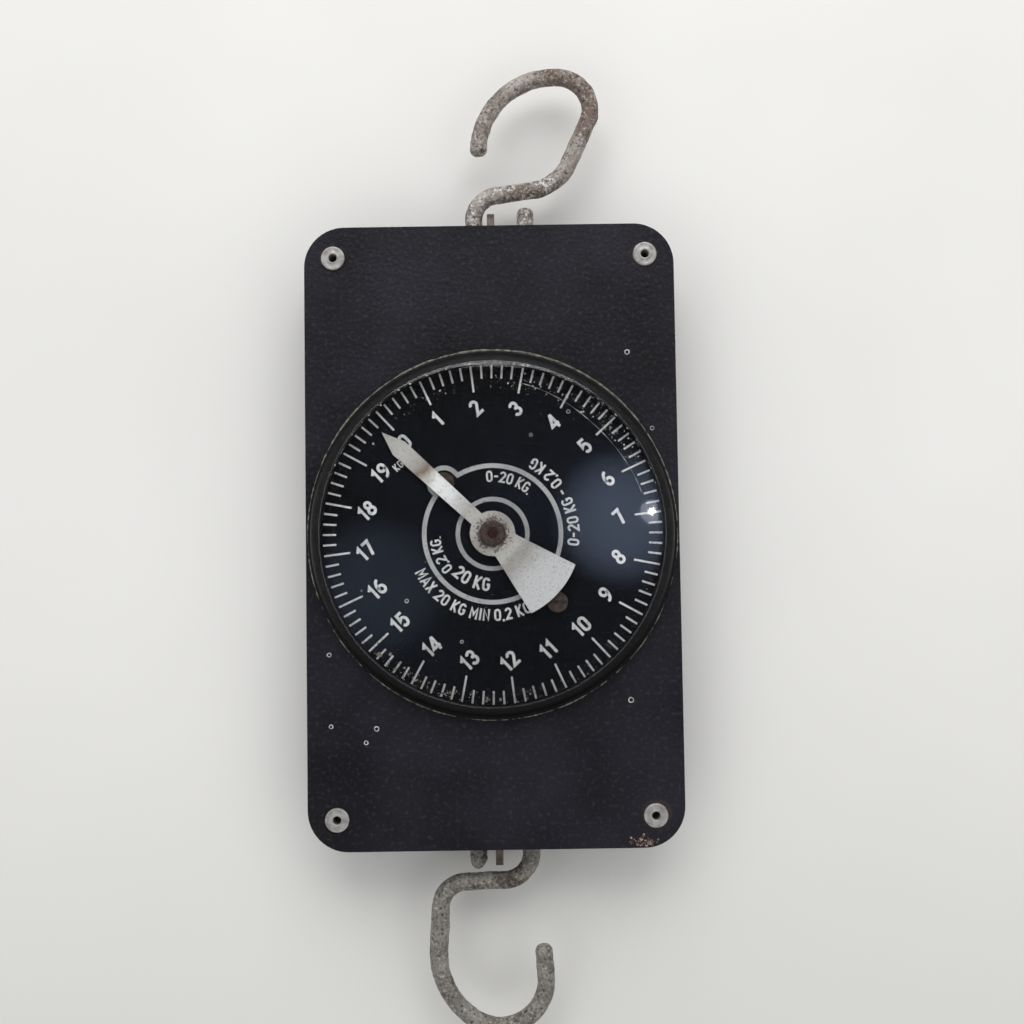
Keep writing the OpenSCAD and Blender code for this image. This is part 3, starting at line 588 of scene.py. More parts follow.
def spring_line():
    """Foot, bend and leg, then the run-in, whose radius grows as u^2 (3 - 2u) while it turns
    270 degrees, then the helix; the lower end is the upper one turned half round the middle."""
    out_z = bar_z + bar_t + spring_wire_r + 0.3
    bend = 2.2
    t = np.linspace(0, np.pi / 2, 12)
    leg = np.vstack([
        [[0, foot, out_z]],
        np.column_stack([0 * t, bend * (1 - np.sin(t)), out_z - bend * (1 - np.cos(t))]),
    ])
    u = np.linspace(0, 1, 60)[:, None]
    a = np.radians(90 - 270 * (1 - u))
    r = spring_mean_r * u * u * (3 - 2 * u)
    z = coil_top + run_in - ((2 * run_in - 0.75 * rise) * u + (0.75 * rise - run_in) * u * u)
    inward = np.hstack([r * np.cos(a), r * np.sin(a), z])
    k = np.arange(1, turns * 24)[:, None] / 24
    b = np.radians(90 + 360 * k)
    coil = np.hstack([spring_mean_r * np.cos(b), spring_mean_r * np.sin(b), coil_top - rise * k])
    top = np.vstack([leg, inward])
    bottom = top[::-1] * [1, -1, -1] + [0, 0, 2 * middle_z]
    return np.vstack([top, coil, bottom])


# %% The two springs
foot_points = 14


def spring(name, x, node):
    """A round tube on the spring's line. The rings' side vectors point away from the spring's
    axis, so that the tube doesn't twist, and sideways along both feet."""
    line = spring_line() + [x, -mid_d, 0]
    middle = np.array([x, -mid_d, 0])
    side = line - middle
    side[:, 2] = 0
    side += [1e-3, 2e-3, 0]
    side[:foot_points] = side[-foot_points:] = [1.0, 0.0, 0.0]
    skin, _ = skin_of(line, np.full(len(line), spring_wire_r), side, sides=14)
    piece = make_piece(name, *capped(skin), spring_steel, sharp=70)
    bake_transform(piece)
    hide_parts(node)


spring("left_spring_wire", -spring_x, "spring_left")
spring("right_spring_wire", spring_x, "spring_right")

# %% [markdown]
# ## Hollow rivets
#
# Four turned eyelets hold the case together. Each has a flat head with a rounded rim, a
# fine lip round its bore and a tail that is rolled over at the back. One closed profile
# of radius and depth, turned round the rivet's axis, makes all of it, and a small random
# field takes the lathe's evenness off.


# %% Turned profiles
def arc(centre, radius, a0, a1, n):
    """n points of an arc: centre + radius * (cos a, sin a) from a0 to a1, in radians."""
    a = np.linspace(a0, a1, n)[:, None]
    return np.array(centre) + radius * np.hstack([np.cos(a), np.sin(a)])


def revolved(profile, steps=240, x=0.0, z=0.0):
    """A closed profile of (radius, depth) turned round an axis at x, z:
    (x + r cos a, -d, z + r sin a)."""
    a = np.linspace(0, 2 * np.pi, steps, endpoint=False)[:, None]
    r, d = profile[None, :, 0], profile[None, :, 1]
    points = np.stack([x + r * np.cos(a), -d + 0 * a, z + r * np.sin(a)], 2).reshape(-1, 3)
    return points, grid_faces(steps, len(profile), True, True)


def join(parts):
    """Several (points, faces) as one: each part's faces count on from the points before it."""
    counts = np.cumsum([0] + [len(points) for points, _ in parts])
    faces = [(np.asarray(f) + start).tolist() for (_, fs), start in zip(parts, counts) for f in fs]
    return np.vstack([points for points, _ in parts]), faces


# %% Four eyelets
pi = np.pi
bore_r, head_r, shank_r, head_top = 1.2, 3.55, 2.4, cover_d + 0.78
tail_d, tail_r = 1.0, 0.9
eyelet = np.vstack([
    arc((bore_r + 0.28, head_top - 0.2), 0.28, pi, pi / 2, 6),
    [[1.75, head_top - 0.02], [2.3, head_top - 0.06], [2.8, head_top - 0.02]],
    arc((head_r - 0.42, head_top - 0.42), 0.42, pi / 2, 0, 8),
    [[head_r, cover_d + 0.02], [shank_r, cover_d + 0.01], [shank_r, tail_d]],
    arc((bore_r + tail_r, tail_d), tail_r, 0, -pi, 12),
])
turned = [revolved(eyelet, 56, x, z) for x in (-rivet_x, rivet_x) for z in (-rivet_z, rivet_z)]
points, faces = join(turned)
points = points + 0.02 * smooth_field(points, 1.8, 31)[:, None] * np.array([0.4, 1.0, 0.4])
eyelets = make_piece("hollow_rivet_eyelets", points, faces, rivet_metal, sharp=50)
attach(eyelets, "case")
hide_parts("hollow_rivets")

# %% [markdown]
# ## Window
#
# The window is a clear moulded cap: a nearly flat crown, a rounded shoulder, a short
# wall over the collar and a foot on the cover. A profile of radius and depth, turned
# round the dial's axis, gives it in one surface with true arcs. From the end of the
# marks outwards the cap is painted black, which hides the collar under it and keeps
# light from coming in sideways. The paint is a second material on those faces.

# %% Profile of the window
crown_r, shoulder_r, wall_t, foot_t = 500.0, 4.0, 1.8, 0.9
window_r, foot_r, paint_from_r = 53.3, 54.4, 50.4
crown_c = apex_d - crown_r
shoulder_c = np.array([window_r - shoulder_r, 0.0])
shoulder_c[1] = crown_c + np.sqrt((crown_r - shoulder_r) ** 2 - shoulder_c[0] ** 2)
tangent_a = np.arctan2(shoulder_c[1] - crown_c, shoulder_c[0])
profile = np.vstack([
    [[foot_r - 0.15, cover_d], [foot_r, cover_d + 0.15]],
    [[foot_r, cover_d + foot_t - 0.25], [foot_r - 0.25, cover_d + foot_t]],
    arc((window_r + 0.35, cover_d + foot_t + 0.35), 0.35, -pi / 2, -pi, 6),
    arc(shoulder_c, shoulder_r, 0, tangent_a, 24),
    arc((0, crown_c), crown_r, tangent_a, pi / 2, 30),
    arc((0, crown_c), crown_r - wall_t, pi / 2, tangent_a, 30),
    arc(shoulder_c, shoulder_r - wall_t, tangent_a, 0, 20),
    [[window_r - wall_t, cover_d]],
])
profile[:, 0] = np.maximum(profile[:, 0], 0)

# %% Acrylic and rim paint
clear_window, tree, place = begin("clear_moulded_acrylic")
acrylic = {"Base Color": "#fcfdfc", "Transmission Weight": 1.0, "Roughness": 0.03, "IOR": 1.49}
# Lamps shine through the cap as through plain glass, so that it casts no dark shadow.
shadow_ray = add(tree, "ShaderNodeLightPath").outputs["Is Shadow Ray"]
see_through(tree, shade(tree, acrylic), shadow_ray, "#f9faf9")

rim_paint, tree, place = begin("worn_black_rim_paint")
_, film = patches(tree, place, 2.5, 6.0, [(0.42, "#09090b"), (0.64, "#141316")])
_, dusty = patches(tree, place, 0.7, 4.0, [(0.6, 0.0), (0.76, 0.5)])
colour = add(tree, "ShaderNodeMix", {0: dusty, 6: film, 7: "#4a4843"}, data_type="RGBA").outputs[2]
# Painted shade: the rim paint is painted darker towards the bottom, where less light falls.
bottom_shade = settled_dirt(tree, place, 0.8)
colour = add(tree, "ShaderNodeMix", {0: bottom_shade, 6: colour, 7: "#050506"}, data_type="RGBA").outputs[2]
shade(tree, {"Base Color": colour, "Roughness": 0.5, "Specular IOR Level": 0.14})

# %% The window and its painted rim
window = make_piece("window_cap", *revolved(profile), clear_window, sharp=50)
window.data.materials.append(rim_paint)
mesh = window.data
centre = np.empty(3 * len(mesh.polygons))
mesh.polygons.foreach_get("center", centre)
centre = 1000 * centre.reshape(-1, 3)
away = np.hypot(centre[:, 0], centre[:, 2])
painted = away > paint_from_r
mesh.polygons.foreach_set("material_index", painted.astype(np.int32))
print("painted faces of the window:", painted.sum(), "of", len(painted))
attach(window, "case")
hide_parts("window")

# %% [markdown]
# ## Printed scale
#
# Screen printing leaves a film of ink a few hundredths of a millimetre thick. Each line
# is a thin ribbon that stands 0.03 mm proud of the dial, so it catches light as ink does.
# There are 100 marks of 200 g, every fifth one longer, and they start at the zero.

# %% Ribbons of ink
ink_t = 0.03


def at_angle(radius, degrees):
    """x and z of a point at a distance and a clockwise angle from the top."""
    a = np.radians(degrees)
    return np.stack([radius * np.sin(a), radius * np.cos(a)], -1)


def ribbon(line, width, closed=False, lift=0.0):
    """A flat band along points of the dial's plane. At each point the edge lies half a width
    to both sides along the mitre, the mean of the two neighbours' normals over its cosine."""
    line = np.asarray(line, float)
    if closed:
        ahead = np.roll(line, -1, 0) - line
        back = line - np.roll(line, 1, 0)
    else:
        step = np.diff(line, axis=0)
        ahead, back = np.vstack([step, step[-1:]]), np.vstack([step[:1], step])
    ahead, back = (v / np.linalg.norm(v, axis=1)[:, None] for v in (ahead, back))
    n1, n2 = (np.column_stack([-v[:, 1], v[:, 0]]) for v in (back, ahead))
    mitre = n1 + n2
    mitre /= np.maximum((mitre * n2).sum(1), 0.35)[:, None]
    left, right = line + mitre * width / 2, line - mitre * width / 2
    low, high = -face_d, -(face_d + ink_t + lift)
    corner = [(left, low), (left, high), (right, high), (right, low)]
    points = np.stack([np.column_stack([p[:, 0], np.full(len(p), y), p[:, 1]]) for p, y in corner], 1)
    faces = grid_faces(len(line), 4, closed).tolist()
    if not closed:
        last = 4 * (len(line) - 1)
        faces += [[0, 1, 2, 3], [last + 3, last + 2, last + 1, last]]
    return points.reshape(-1, 3), faces


# %% The hundred marks
long_r, short_r, end_r, mark_w = 42.1, 45.9, 49.8, 0.58
marks = []
for k in range(100):
    inner = long_r if k % 5 == 0 else short_r
    angle = zero_a + 3.6 * k
    marks.append(ribbon([at_angle(inner, angle), at_angle(end_r, angle)], mark_w))
ticks = make_piece("dial_marks", *join(marks), scale_ink)
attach(ticks, "case")

# %% [markdown]
# ## Figures
#
# The figures are a narrow plain lettering, drawn as an engraver does with one stroke
# width. A glyph is a few strokes in a box 2 units wide and 4 high, each made of straight
# pieces and elliptic arcs. The same strokes serve the scale and the small capacity marks.


# %% Strokes of each glyph
def bow(x, z, rx, rz, a0, a1, n=14):
    """n points of an elliptic arc: (x + rx cos a, z + rz sin a), a in degrees from the right,
    growing upwards."""
    a = np.radians(np.linspace(a0, a1, n))
    return np.column_stack([x + rx * np.cos(a), z + rz * np.sin(a)])


def path_of(*parts):
    """Points and arcs in a row as one line."""
    return np.vstack([np.atleast_2d(np.asarray(p, float)) for p in parts])


SIX = path_of(
    (0.62, 1.95), bow(0.75, -0.35, 1.7, 2.5, 112, 172, 10), bow(0, -0.9, 0.95, 1.05, 165, 525, 30),
)
STROKES = {
    "0": [[bow(0, 0.95, 0.95, 1.0, 0, 180), bow(0, -0.95, 0.95, 1.0, 180, 360), (0.95, 0.95)]],
    "1": [[(-0.75, 0.95), (0.25, 1.9), (0.25, -2.32)]],
    "2": [[bow(0, 0.95, 0.95, 1.0, 170, -20, 16), (-0.95, -1.95), (1.25, -1.95)]],
    "3": [
        [bow(-0.05, 1.0, 0.9, 0.95, 165, -75, 18), (-0.35, 0.12)],
        [(-0.35, 0.1), bow(-0.05, -0.9, 1.0, 1.05, 72, -165, 20)],
    ],
    "4": [[(0.55, 2.3), (-1.2, -1.05), (1.3, -1.05)], [(0.55, 2.3), (0.55, -2.32)]],
    "5": [[(0.95, 1.95), (-0.75, 1.95), (-0.85, 0.1), bow(0, -0.7, 0.98, 1.25, 128, -150, 22)]],
    "6": [[SIX]],
    "7": [[(-1.15, 1.95), (0.95, 1.95), (-0.35, -2.32)]],
    "8": [[bow(0, 1.0, 0.82, 0.93, 270, 630, 30)], [bow(0, -0.95, 0.98, 1.02, 90, 450, 32)]],
    "9": [[-SIX]],  # a six turned half round
    "K": [[(-0.9, 2.3), (-0.9, -2.3)], [(1.0, 2.3), (-0.6, 0.0), (1.1, -2.3)]],
    "G": [[
        bow(0, 0.9, 0.95, 1.05, 20, 180), bow(0, -0.9, 0.95, 1.05, 180, 360), (0.95, -0.1), (0.15, -0.1),
    ]],
    "M": [[(-1.2, -2.3), (-1.2, 2.1), (0, -0.6), (1.2, 2.1), (1.2, -2.3)]],
    "A": [[(-1.15, -2.3), (0, 2.2), (1.15, -2.3)], [(-0.7, -0.9), (0.7, -0.9)]],
    "X": [[(-1.0, 2.3), (1.0, -2.3)], [(1.0, 2.3), (-1.0, -2.3)]],
    "I": [[(0, 2.3), (0, -2.3)]],
    "N": [[(-0.95, -2.3), (-0.95, 2.1), (0.95, -2.1), (0.95, 2.3)]],
    "-": [[(-0.85, 0.0), (0.85, 0.0)]],
    ",": [[(0.05, -1.8), (-0.1, -2.7)]],
    ".": [[(0, -1.85), (0, -2.35)]],
    " ": [],
}
GLYPHS = {mark: [path_of(*parts) for parts in strokes] for mark, strokes in STROKES.items()}
WIDTH = {"1": 2.0, "I": 1.1, "M": 3.3, ",": 0.8, ".": 0.8, " ": 0.9, "-": 2.1}
usual_w, box_h = 2.65, 4.65
print("glyphs:", len(GLYPHS))


# %% Setting glyphs in lines and circles
def glyph_at(mark, centre, right, up, height, stroke):
    """The strokes of a glyph as ribbons: centre + x * right + z * up, scaled to its height. Each
    stroke stands a little above the last, so that crossing strokes never share one plane."""
    scale = height / box_h
    parts = []
    for k, line in enumerate(GLYPHS[mark]):
        spot = centre + scale * (line[:, :1] * right + line[:, 1:] * up)
        parts.append(ribbon(spot, stroke, lift=0.006 * (k + 1)))
    return parts


def straight_text(text, centre, tilt, height, stroke, gap=0.55):
    """Glyphs side by side on a straight line through centre, turned by tilt degrees to the left."""
    t = np.radians(tilt)
    right, up = np.array([np.cos(t), np.sin(t)]), np.array([-np.sin(t), np.cos(t)])
    scale = height / box_h
    widths = np.array([WIDTH.get(c, usual_w) for c in text]) + gap
    starts = np.cumsum(widths) - widths / 2 - widths.sum() / 2
    parts = []
    for c, s in zip(text, starts):
        parts += glyph_at(c, centre + s * scale * right, right, up, height, stroke)
    return parts


def round_text(text, radius, middle, height, stroke, gap=0.42, inward=False):
    """Glyphs on a circle round the dial's axis about a clockwise angle, tops out, or in if inward."""
    scale = height / box_h
    sign = -1 if inward else 1
    widths = (np.array([WIDTH.get(c, usual_w) for c in text]) + gap) * scale
    starts = np.cumsum(widths) - widths / 2 - widths.sum() / 2
    parts = []
    for c, s in zip(text, starts):
        angle = middle + sign * np.degrees(s / radius)
        up = sign * at_angle(1.0, angle)
        right = np.array([up[1], -up[0]])
        parts += glyph_at(c, at_angle(radius, angle), right, up, height, stroke)
    return parts


# %% Figures of the scale
figure_r, figure_h, figure_stroke = 37.5, 4.65, 0.86
figures = []
for value in range(20):
    centre = at_angle(figure_r, zero_a + 18 * value)
    figures += straight_text(str(value), centre, -zero_a, figure_h, figure_stroke, 0.4)
figures += straight_text("KG", at_angle(34.2, -53.5), -zero_a, 2.3, 0.4)
numbers = make_piece("dial_figures", *join(figures), scale_ink)
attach(numbers, "case")

# %% [markdown]
# ## Rings and capacity marks
#
# Two printed rings frame the marks near the middle. The outer one bulges round the head
# of the upper dial screw. Its radius is the circle's own, or the far side of a small
# circle round the screw where that is larger.

# %% Two rings
outer_r, inner_r, screw_at_r, bulge_r = 20.05, 10.2, 20.7, 4.4
around = np.radians(np.arange(0, 360, 1.0))
off = (np.degrees(around) - zero_a + 180) % 360 - 180
near = np.abs(off) < np.degrees(np.arcsin(bulge_r / screw_at_r)) - 0.2
reach = screw_at_r * np.cos(np.radians(off)) + np.sqrt(
    np.maximum(bulge_r**2 - (screw_at_r * np.sin(np.radians(off))) ** 2, 0)
)
ring_r = np.where(near, np.maximum(outer_r, reach), outer_r)
outer_ring = ribbon(at_angle(ring_r, np.degrees(around)), 1.35, closed=True)
inner_ring = ribbon(at_angle(np.full(240, inner_r), np.arange(240) * 1.5), 1.3, closed=True)
rings = make_piece("dial_rings", *join([outer_ring, inner_ring]), ring_ink)
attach(rings, "case")

# %% Capacity marks
lettering = []
for text, radius, middle, height, stroke, inward in (
    ("0-20 KG.", 16.9, 18.4, 3.3, 0.55, False),
    ("0,2 KG.", 16.9, -111, 3.3, 0.55, False),
    ("20 KG", 14.9, 205, 3.9, 0.7, True),
    ("MAX 20 KG MIN 0,2 KG", 23.8, 199, 3.5, 0.6, True),
    ("0-20 KG - 0,2 KG", 23.8, 64, 3.5, 0.6, True),
):
    lettering += round_text(text, radius, middle, height, stroke, inward=inward)
marks_small = make_piece("capacity_marks", *join(lettering), small_ink)
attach(marks_small, "case")

# %% [markdown]
# ## Dirt, chips and scratches
#
# Age shows as things of their own: a bead of grey dirt in the corner where the window
# meets the cover, small burst blisters in the enamel, a rust spot at one corner, a long
# scratch round the window's upper right, and flakes of dust, most of them on the window
# and some on the dial under it. Each is a ring, a tube or a flake of its own, laid on the
# surface that carries it.

# %% Dirt, dust and rust
dry_dirt = patchy_finish(
    "dry_grey_dirt", 1.5, 5.0, [(0.36, "#4a463f"), (0.62, "#8d887c")], {"Roughness": 0.9},
)
pale_dust = patchy_finish(
    "pale_dust", 2, 4.0, [(0.4, "#87858a"), (0.62, "#c0beba")], {"Roughness": 0.9},
)
rust_scale = patchy_finish(
    "flaking_rust", 0.9, 2.0, [(0.45, "#45302a"), (0.66, "#a08d7d")], {"Roughness": 0.85},
)

# %% Bead of dirt round the window
# A tube whose radius is patchy by two smooth fields. It is thickest at the top, thicker at
# the bottom than at the sides, and nowhere quite gone.
steps = 720
a = np.linspace(0, 2 * np.pi, steps, endpoint=False)
spots = np.column_stack([foot_r * np.cos(a), np.zeros(steps), foot_r * np.sin(a)])
patchy = 0.5 + 0.5 * smooth_field(spots, 7, 5) + 0.35 * smooth_field(spots, 2.2, 6)
upper, lower = np.clip(np.sin(a), 0, 1), np.clip(-np.sin(a), 0, 1)
thick = 0.1 + 0.24 * upper**0.7 + (0.1 + 0.16 * lower) * np.clip(patchy, 0, 1)
thick *= np.clip(0.35 + 0.65 * np.clip(patchy + 0.6 * np.maximum(np.sin(a), -0.25), 0, 1), 0, 1)
t = np.linspace(0, 2 * np.pi, 8, endpoint=False)
r = foot_r - 0.05 + thick[:, None] * np.cos(t)
d = cover_d + 0.6 + thick[:, None] * np.sin(t)
bead_points = np.stack([r * np.cos(a)[:, None], -d, r * np.sin(a)[:, None]], 2).reshape(-1, 3)
bead = make_piece("window_dirt_bead", bead_points, grid_faces(steps, 8, True, True), dry_dirt)
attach(bead, "case")


# %% Flakes and blisters
def frames_for(normals):
    """Two directions square to each normal and to each other, by cross products."""
    u = np.cross(normals, [0.3, 0.1, 0.9])
    u /= np.linalg.norm(u, axis=1)[:, None]
    return u, np.cross(normals, u)


corners, flake_t = 7, 0.04


def flakes(name, spots, normals, sizes, seed, material):
    """Small irregular flakes: a low fan of corners round each spot, in the plane square to
    its normal, each corner's distance drawn at random about the flake's size."""
    draw = np.random.default_rng(seed)
    n = len(spots)
    u, v = frames_for(normals)
    t = np.linspace(0, 2 * np.pi, corners, endpoint=False) + draw.uniform(0, 6, (n, 1))
    reach = sizes[:, None] * draw.uniform(0.5, 1.2, (n, corners))
    rim = spots[:, None] + (reach * np.cos(t))[..., None] * u[:, None]
    rim = rim + (reach * np.sin(t))[..., None] * v[:, None]
    top = spots + flake_t * normals
    points = np.concatenate([top[:, None], rim], 1).reshape(-1, 3)
    j = np.arange(corners)
    fan = np.stack([0 * j, 1 + j, 1 + (j + 1) % corners], 1)
    faces = np.arange(n)[:, None, None] * (corners + 1) + fan
    piece = make_piece(name, points, faces.reshape(-1, 3), material, sharp=80)
    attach(piece, "case")


def blisters(name, spots, radius, seed, material, around=18, tube=6):
    """Rims of burst blisters: a flattened ring round each spot, (R + s cos p)(cos t, sin t) in
    the plane and 0.35 s sin p out of it. R is uneven by a wave of three lobes and s by one of
    two, each with a phase drawn at random."""
    draw = np.random.default_rng(seed)
    n = len(spots)
    t = np.linspace(0, 2 * np.pi, around, endpoint=False)[None, :, None]
    p = np.linspace(0, 2 * np.pi, tube, endpoint=False)[None, None, :]
    big = radius[:, None, None] * (1 + 0.04 * np.sin(3 * t + draw.uniform(0, 6, (n, 1, 1))))
    s = 0.24 * radius[:, None, None] * (1 + 0.15 * np.sin(2 * t + draw.uniform(0, 6, (n, 1, 1))))
    r, out = big + s * np.cos(p), 0.35 * s * np.sin(p)
    x, z, y = spots[:, 0, None, None], spots[:, 2, None, None], spots[:, 1, None, None]
    points = np.stack([x + r * np.cos(t), y - out, z + r * np.sin(t)], -1).reshape(-1, 3)
    faces = np.arange(n)[:, None, None] * around * tube + grid_faces(around, tube, True, True)
    piece = make_piece(name, points, faces.reshape(-1, 4), material)
    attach(piece, "case")


def on_plane(xz, depth):
    """Points of the dial's or cover's plane at a depth."""
    xz = np.asarray(xz, float)
    return np.column_stack([xz[:, 0], np.full(len(xz), -depth), xz[:, 1]])


# %% Marks on the cover and the dial
burst = [
    (40.6, 53.4), (47.6, 30.6), (-48.4, -34.8), (-48.0, -55.7), (-34.7, -56.5), (-37.8, -60.5),
    (39.8, -49.2),
]
burst_r = np.array([0.65, 0.55, 0.55, 0.55, 0.65, 0.55, 0.7])
blisters("enamel_blisters", on_plane(burst, cover_d), burst_r, 3, pale_dust)
drops = [(11.7, 29.0), (22.8, 35.7), (-25.4, -19.3), (-9.4, -31.4)]
drops_r = np.array([0.42, 0.5, 0.5, 0.42])
blisters("dial_drops", on_plane(drops, face_d + 0.03), drops_r, 4, pale_dust)

# The rust keeps off the cover's rounded edge: under a height, and out of the corner's arc.
draw = np.random.default_rng(17)
where = np.column_stack([draw.normal(43.2, 1.8, 65), draw.normal(-90.3, 0.75, 65)])
where = where[(where[:, 1] > -91.7) & (np.hypot(where[:, 0] - 43, where[:, 1] + 80) < 11.6)]
facing = np.tile(outwards, (len(where), 1))
sizes = draw.gamma(2.2, 0.11, len(where)) + 0.08
flakes("corner_rust", on_plane(where, cover_d + 0.01), facing, sizes, 18, rust_scale)


# %% Dust on the window and under it
def on_window(radius, degrees, lift=0.02):
    """Points on the window's crown, lifted along the crown's normals, and those normals."""
    xz = at_angle(radius, degrees)
    d = crown_c + np.sqrt(crown_r**2 - np.asarray(radius) ** 2)
    normal = np.stack([xz[..., 0], -(d - crown_c), xz[..., 1]], -1) / crown_r
    return np.stack([xz[..., 0], -d, xz[..., 1]], -1) + lift * normal, normal


def heaps(draw, *groups):
    """Random numbers in heaps, each with a middle, a spread and a count."""
    return np.concatenate([draw.normal(*group) for group in groups])


draw = np.random.default_rng(41)
angle = heaps(draw, (14, 9, 60), (46, 13, 130), (-22, 14, 40))
radius = heaps(draw, (44.5, 1.4, 60), (46.3, 1.8, 130), (43.3, 0.7, 40))
spots, normals = on_window(np.clip(radius, 41, 49.1), angle)
flakes("window_dust", spots, normals, draw.gamma(1.5, 0.055, 230) + 0.04, 42, pale_dust)

angle = np.append(heaps(draw, (205, 16, 110), (160, 16, 50)), draw.uniform(0, 360, 70))
radius = np.append(draw.normal(48.2, 1.0, 160), 49 * np.sqrt(draw.uniform(0.05, 1, 70)))
spots = on_plane(at_angle(np.clip(radius, 0, 49.9), angle), face_d + 0.04)
sizes = draw.gamma(1.5, 0.06, 230) * np.where(np.arange(230) < 110, 1.8, 1.0) + 0.04
flakes("dial_dust", spots, np.tile(outwards, (230, 1)), sizes, 43, dry_dirt)

draw = np.random.default_rng(47)
angle = np.append(draw.normal(2, 16, 150), draw.uniform(-70, 75, 130))
spots, normals = on_window(draw.normal(49.75, 0.14, 280), angle)
flakes("rim_dust", spots, normals, draw.gamma(1.6, 0.055, 280) + 0.04, 48, pale_dust)

# %% Scratch round the upper right
scratch_a = np.linspace(11, 76, 160)
scratch_r = 43.4 + 0.25 * np.sin(np.radians(6 * scratch_a)) + 0.0009 * (scratch_a - 40) ** 2
line, _ = on_window(scratch_r, scratch_a)
half = 0.05 + 0.035 * np.sin(np.radians(31 * scratch_a)) + 0.02 * np.sin(np.radians(83 * scratch_a))
skin, _ = skin_of(line, np.maximum(half, 0.02), outwards, sides=6)
scratch = make_piece("window_scratch", *capped(skin), pale_dust, sharp=80)
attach(scratch, "case")

# %% [markdown]
# ## Board
#
# The scale lies on a pale painted board. Its colour is a little greyer towards the bottom,
# a painted shade for the light that falls off there. A plain square is enough for it. It
# lets lamps through and can't be seen from behind, so the back of the case is lit in the
# other views.

# %% Board
board_paint, tree, place = begin("pale_painted_board")
_, film = patches(tree, place, 180, 3.0, [(0.35, "#dfdedc"), (0.65, "#e5e4e2")])
# Painted shade: the board is greyer towards the bottom, for the light falling off.
height = add(tree, "ShaderNodeSeparateXYZ", {0: place}).outputs["Z"]
painted_falloff = {0: height, 1: 0.02, 2: -0.2, 4: 0.6}
painted_falloff = add(tree, "ShaderNodeMapRange", painted_falloff, interpolation_type="SMOOTHSTEP")
film = add(tree, "ShaderNodeMix", {0: painted_falloff, 6: film, 7: "#c6c6c3"}, data_type="RGBA").outputs[2]
paint = shade(tree, {"Base Color": film, "Roughness": 0.75, "Specular IOR Level": 0.2})
shadow_ray = add(tree, "ShaderNodeLightPath").outputs["Is Shadow Ray"]
rear = add(tree, "ShaderNodeNewGeometry").outputs["Backfacing"]
see_through(tree, paint, add(tree, "ShaderNodeMath", {0: shadow_ray, 1: rear}, operation="MAXIMUM"))

half_m, board_y = 3, 0.0002
board_mesh = bpy.data.meshes.new("board")
signs = ((-1, -1), (1, -1), (1, 1), (-1, 1))
board_mesh.from_pydata([(i * half_m, board_y, k * half_m) for i, k in signs], [], [(0, 1, 2, 3)])
board_mesh.materials.append(board_paint)
board = bpy.data.objects.new("board", board_mesh)
bpy.context.scene.collection.objects.link(board)
print("board:", 2 * half_m, "m wide")

# %% [markdown]
# ## Lamps
#
# One large soft box above gives the even light of an overcast sky. Daylight from a small
# window comes from the right: a very small lamp makes its bright glint on the cap and a
# larger, bluish one the halo round it. All stand in metres, in front of the scale.


# %% Lamps
def lamp(name, place, aim, size, power, colour="#ffffff"):
    """A round soft box, size metres across, at place and turned to aim."""
    data = bpy.data.lights.new(name, "AREA")
    data.shape, data.size, data.energy, data.color = "DISK", size, power, linear(colour)[:3]
    thing = bpy.data.objects.new(name, data)
    thing.location = place
    thing.rotation_euler = (Vector(aim) - Vector(place)).to_track_quat("-Z", "Y").to_euler()
    bpy.context.scene.collection.objects.link(thing)
    print(name, power, "W")


glint_aim = (0.046, -0.03, 0.005)
lamp("sky_box", (0.0, -0.7, 0.8), (0, 0, 0.05), 1.0, 5.8)
lamp("daylight_glint", (0.384, -1.16, 0.094), glint_aim, 0.016, 0.035)
lamp("daylight_halo", (0.388, -1.17, 0.094), glint_aim, 0.06, 0.02, "#e8efff")

# %% [markdown]
# ## Overcast room
#
# Glass and gloss mirror the room, so the world is worked out by direction. It is a little
# stronger from above. Straight at the camera's side it is nearly dark, where the
# photographer stood, which keeps the glass clear. Round that lies a wide bright ring,
# the sides are dim, and it is bright again behind, for the views of the back. Two bluish
# openings add the sheen of daylight. The camera itself sees a plain pale background.

# %% Overcast room
world = bpy.data.worlds.new("overcast_room")
bpy.context.scene.world = world
world.use_nodes = True
tree = world.node_tree
tree.nodes.clear()
way = add(tree, "ShaderNodeTexCoord").outputs["Generated"]
front = add(tree, "ShaderNodeVectorMath", {0: way, 1: outwards}, operation="DOT_PRODUCT")
front = front.outputs["Value"]
upward = add(tree, "ShaderNodeSeparateXYZ", {0: way}).outputs["Z"]
level = add(tree, "ShaderNodeMapRange", {0: upward, 1: -1.0, 2: 1.0, 3: 0.94, 4: 1.22})
ring = add(tree, "ShaderNodeMapRange", {0: front, 1: 0.0, 2: 0.7, 3: 0.26, 4: 1.36})
behind = {0: front, 1: -0.55, 2: -0.9, 4: 1.8}
behind = add(tree, "ShaderNodeMapRange", behind, interpolation_type="SMOOTHSTEP")
dome = add(tree, "ShaderNodeMath", {0: ring, 1: behind}, operation="ADD")
level = add(tree, "ShaderNodeMath", {0: level, 1: dome}, operation="MULTIPLY")
flag = {0: front, 1: 0.76, 2: 0.94, 3: 1.0, 4: 0.02}
flag = add(tree, "ShaderNodeMapRange", flag, interpolation_type="SMOOTHSTEP")
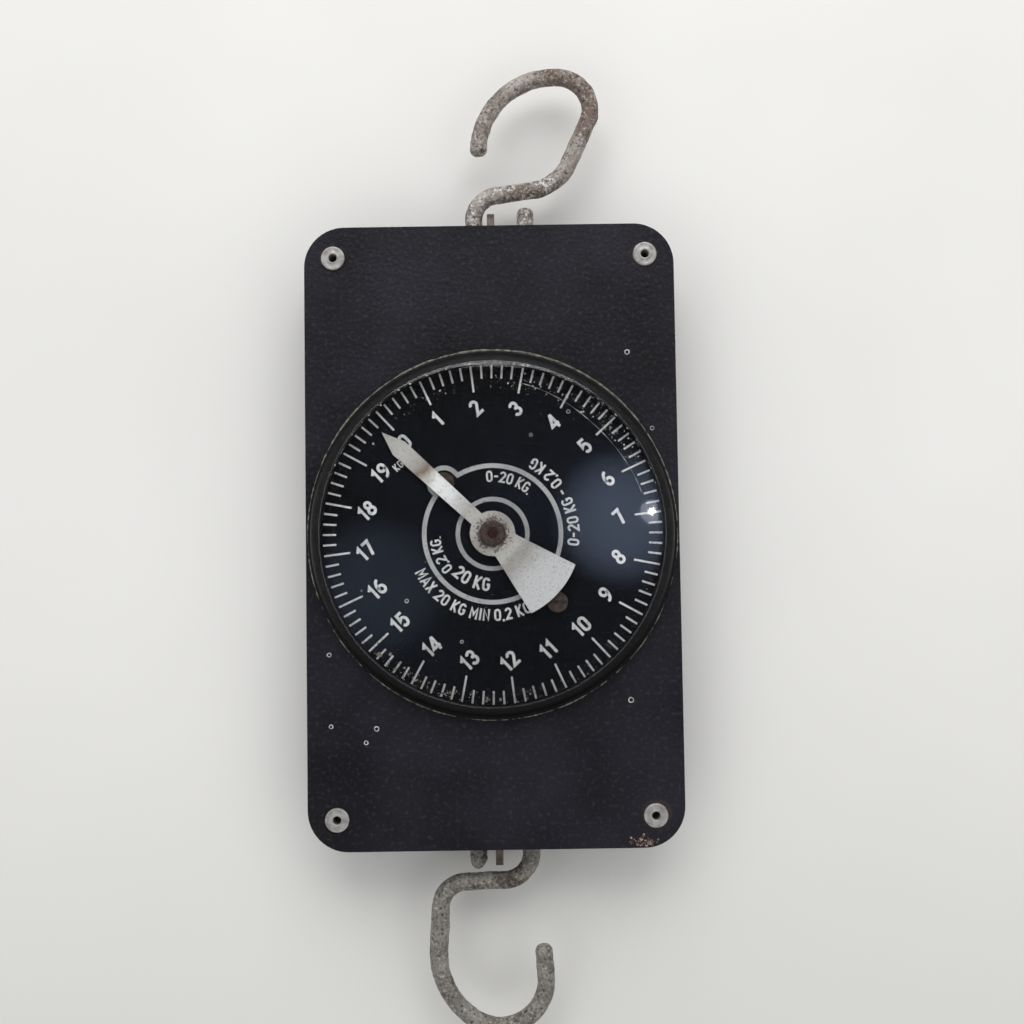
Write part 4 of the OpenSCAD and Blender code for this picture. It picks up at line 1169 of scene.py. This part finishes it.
strength = add(tree, "ShaderNodeMath", {0: level, 1: flag}, operation="MULTIPLY")
sky = add(tree, "ShaderNodeBackground", {"Color": "#f3f3f2", "Strength": strength})

to_right, to_left = (0.230, -0.971, 0.0645), (-0.237, -0.970, -0.06)
openings = []
for direction, edge, most in ((to_right, 0.99, 1.15), (to_left, 0.989, 0.3)):
    close = add(tree, "ShaderNodeVectorMath", {0: way, 1: direction}, operation="DOT_PRODUCT")
    close = {0: close.outputs["Value"], 1: edge, 2: 1.0, 4: most}
    openings.append(add(tree, "ShaderNodeMapRange", close, interpolation_type="SMOOTHSTEP"))
blue = add(tree, "ShaderNodeMath", {0: openings[0], 1: openings[1]}, operation="ADD")
daylight = add(tree, "ShaderNodeBackground", {"Color": "#bccff6", "Strength": blue})
room = add(tree, "ShaderNodeAddShader", {0: sky, 1: daylight})
seen = add(tree, "ShaderNodeLightPath").outputs["Is Camera Ray"]
pale = add(tree, "ShaderNodeBackground", {"Color": "#e2e1df", "Strength": 1.0})
mixed = add(tree, "ShaderNodeMixShader", {0: seen, 1: room, 2: pale})
add(tree, "ShaderNodeOutputWorld", {"Surface": mixed})
print("sky nodes:", len(tree.nodes))

# %% [markdown]
# ## Camera
#
# The camera stands where the photographer's did, worked out from the corners of the
# plate and the four rivets: about 0.42 m in front of the back, a little low, with the
# view of a 47 mm lens on a 36 mm wide sensor.

# %% Camera
camera_data = bpy.data.cameras.new("photographer")
focal_px, picture_px = 1350, 1024
camera_data.sensor_width, camera_data.lens = 36.0, focal_px * 36 / picture_px
camera = bpy.data.objects.new("photographer", camera_data)
right = Vector((0.99989, -0.00036, -0.015))
down = Vector((-0.01496, 0.05442, -0.99841))
forward = Vector((0.00118, 0.99852, 0.05441))
turn = Matrix((right, -down, -forward)).transposed()
camera.matrix_world = Matrix.Translation((0.00532, -0.41891, -0.01528)) @ turn.to_4x4()
bpy.context.scene.collection.objects.link(camera)
bpy.context.scene.camera = camera
bpy.context.scene.view_settings.view_transform = "Standard"
print("lens in mm:", round(camera_data.lens, 1))
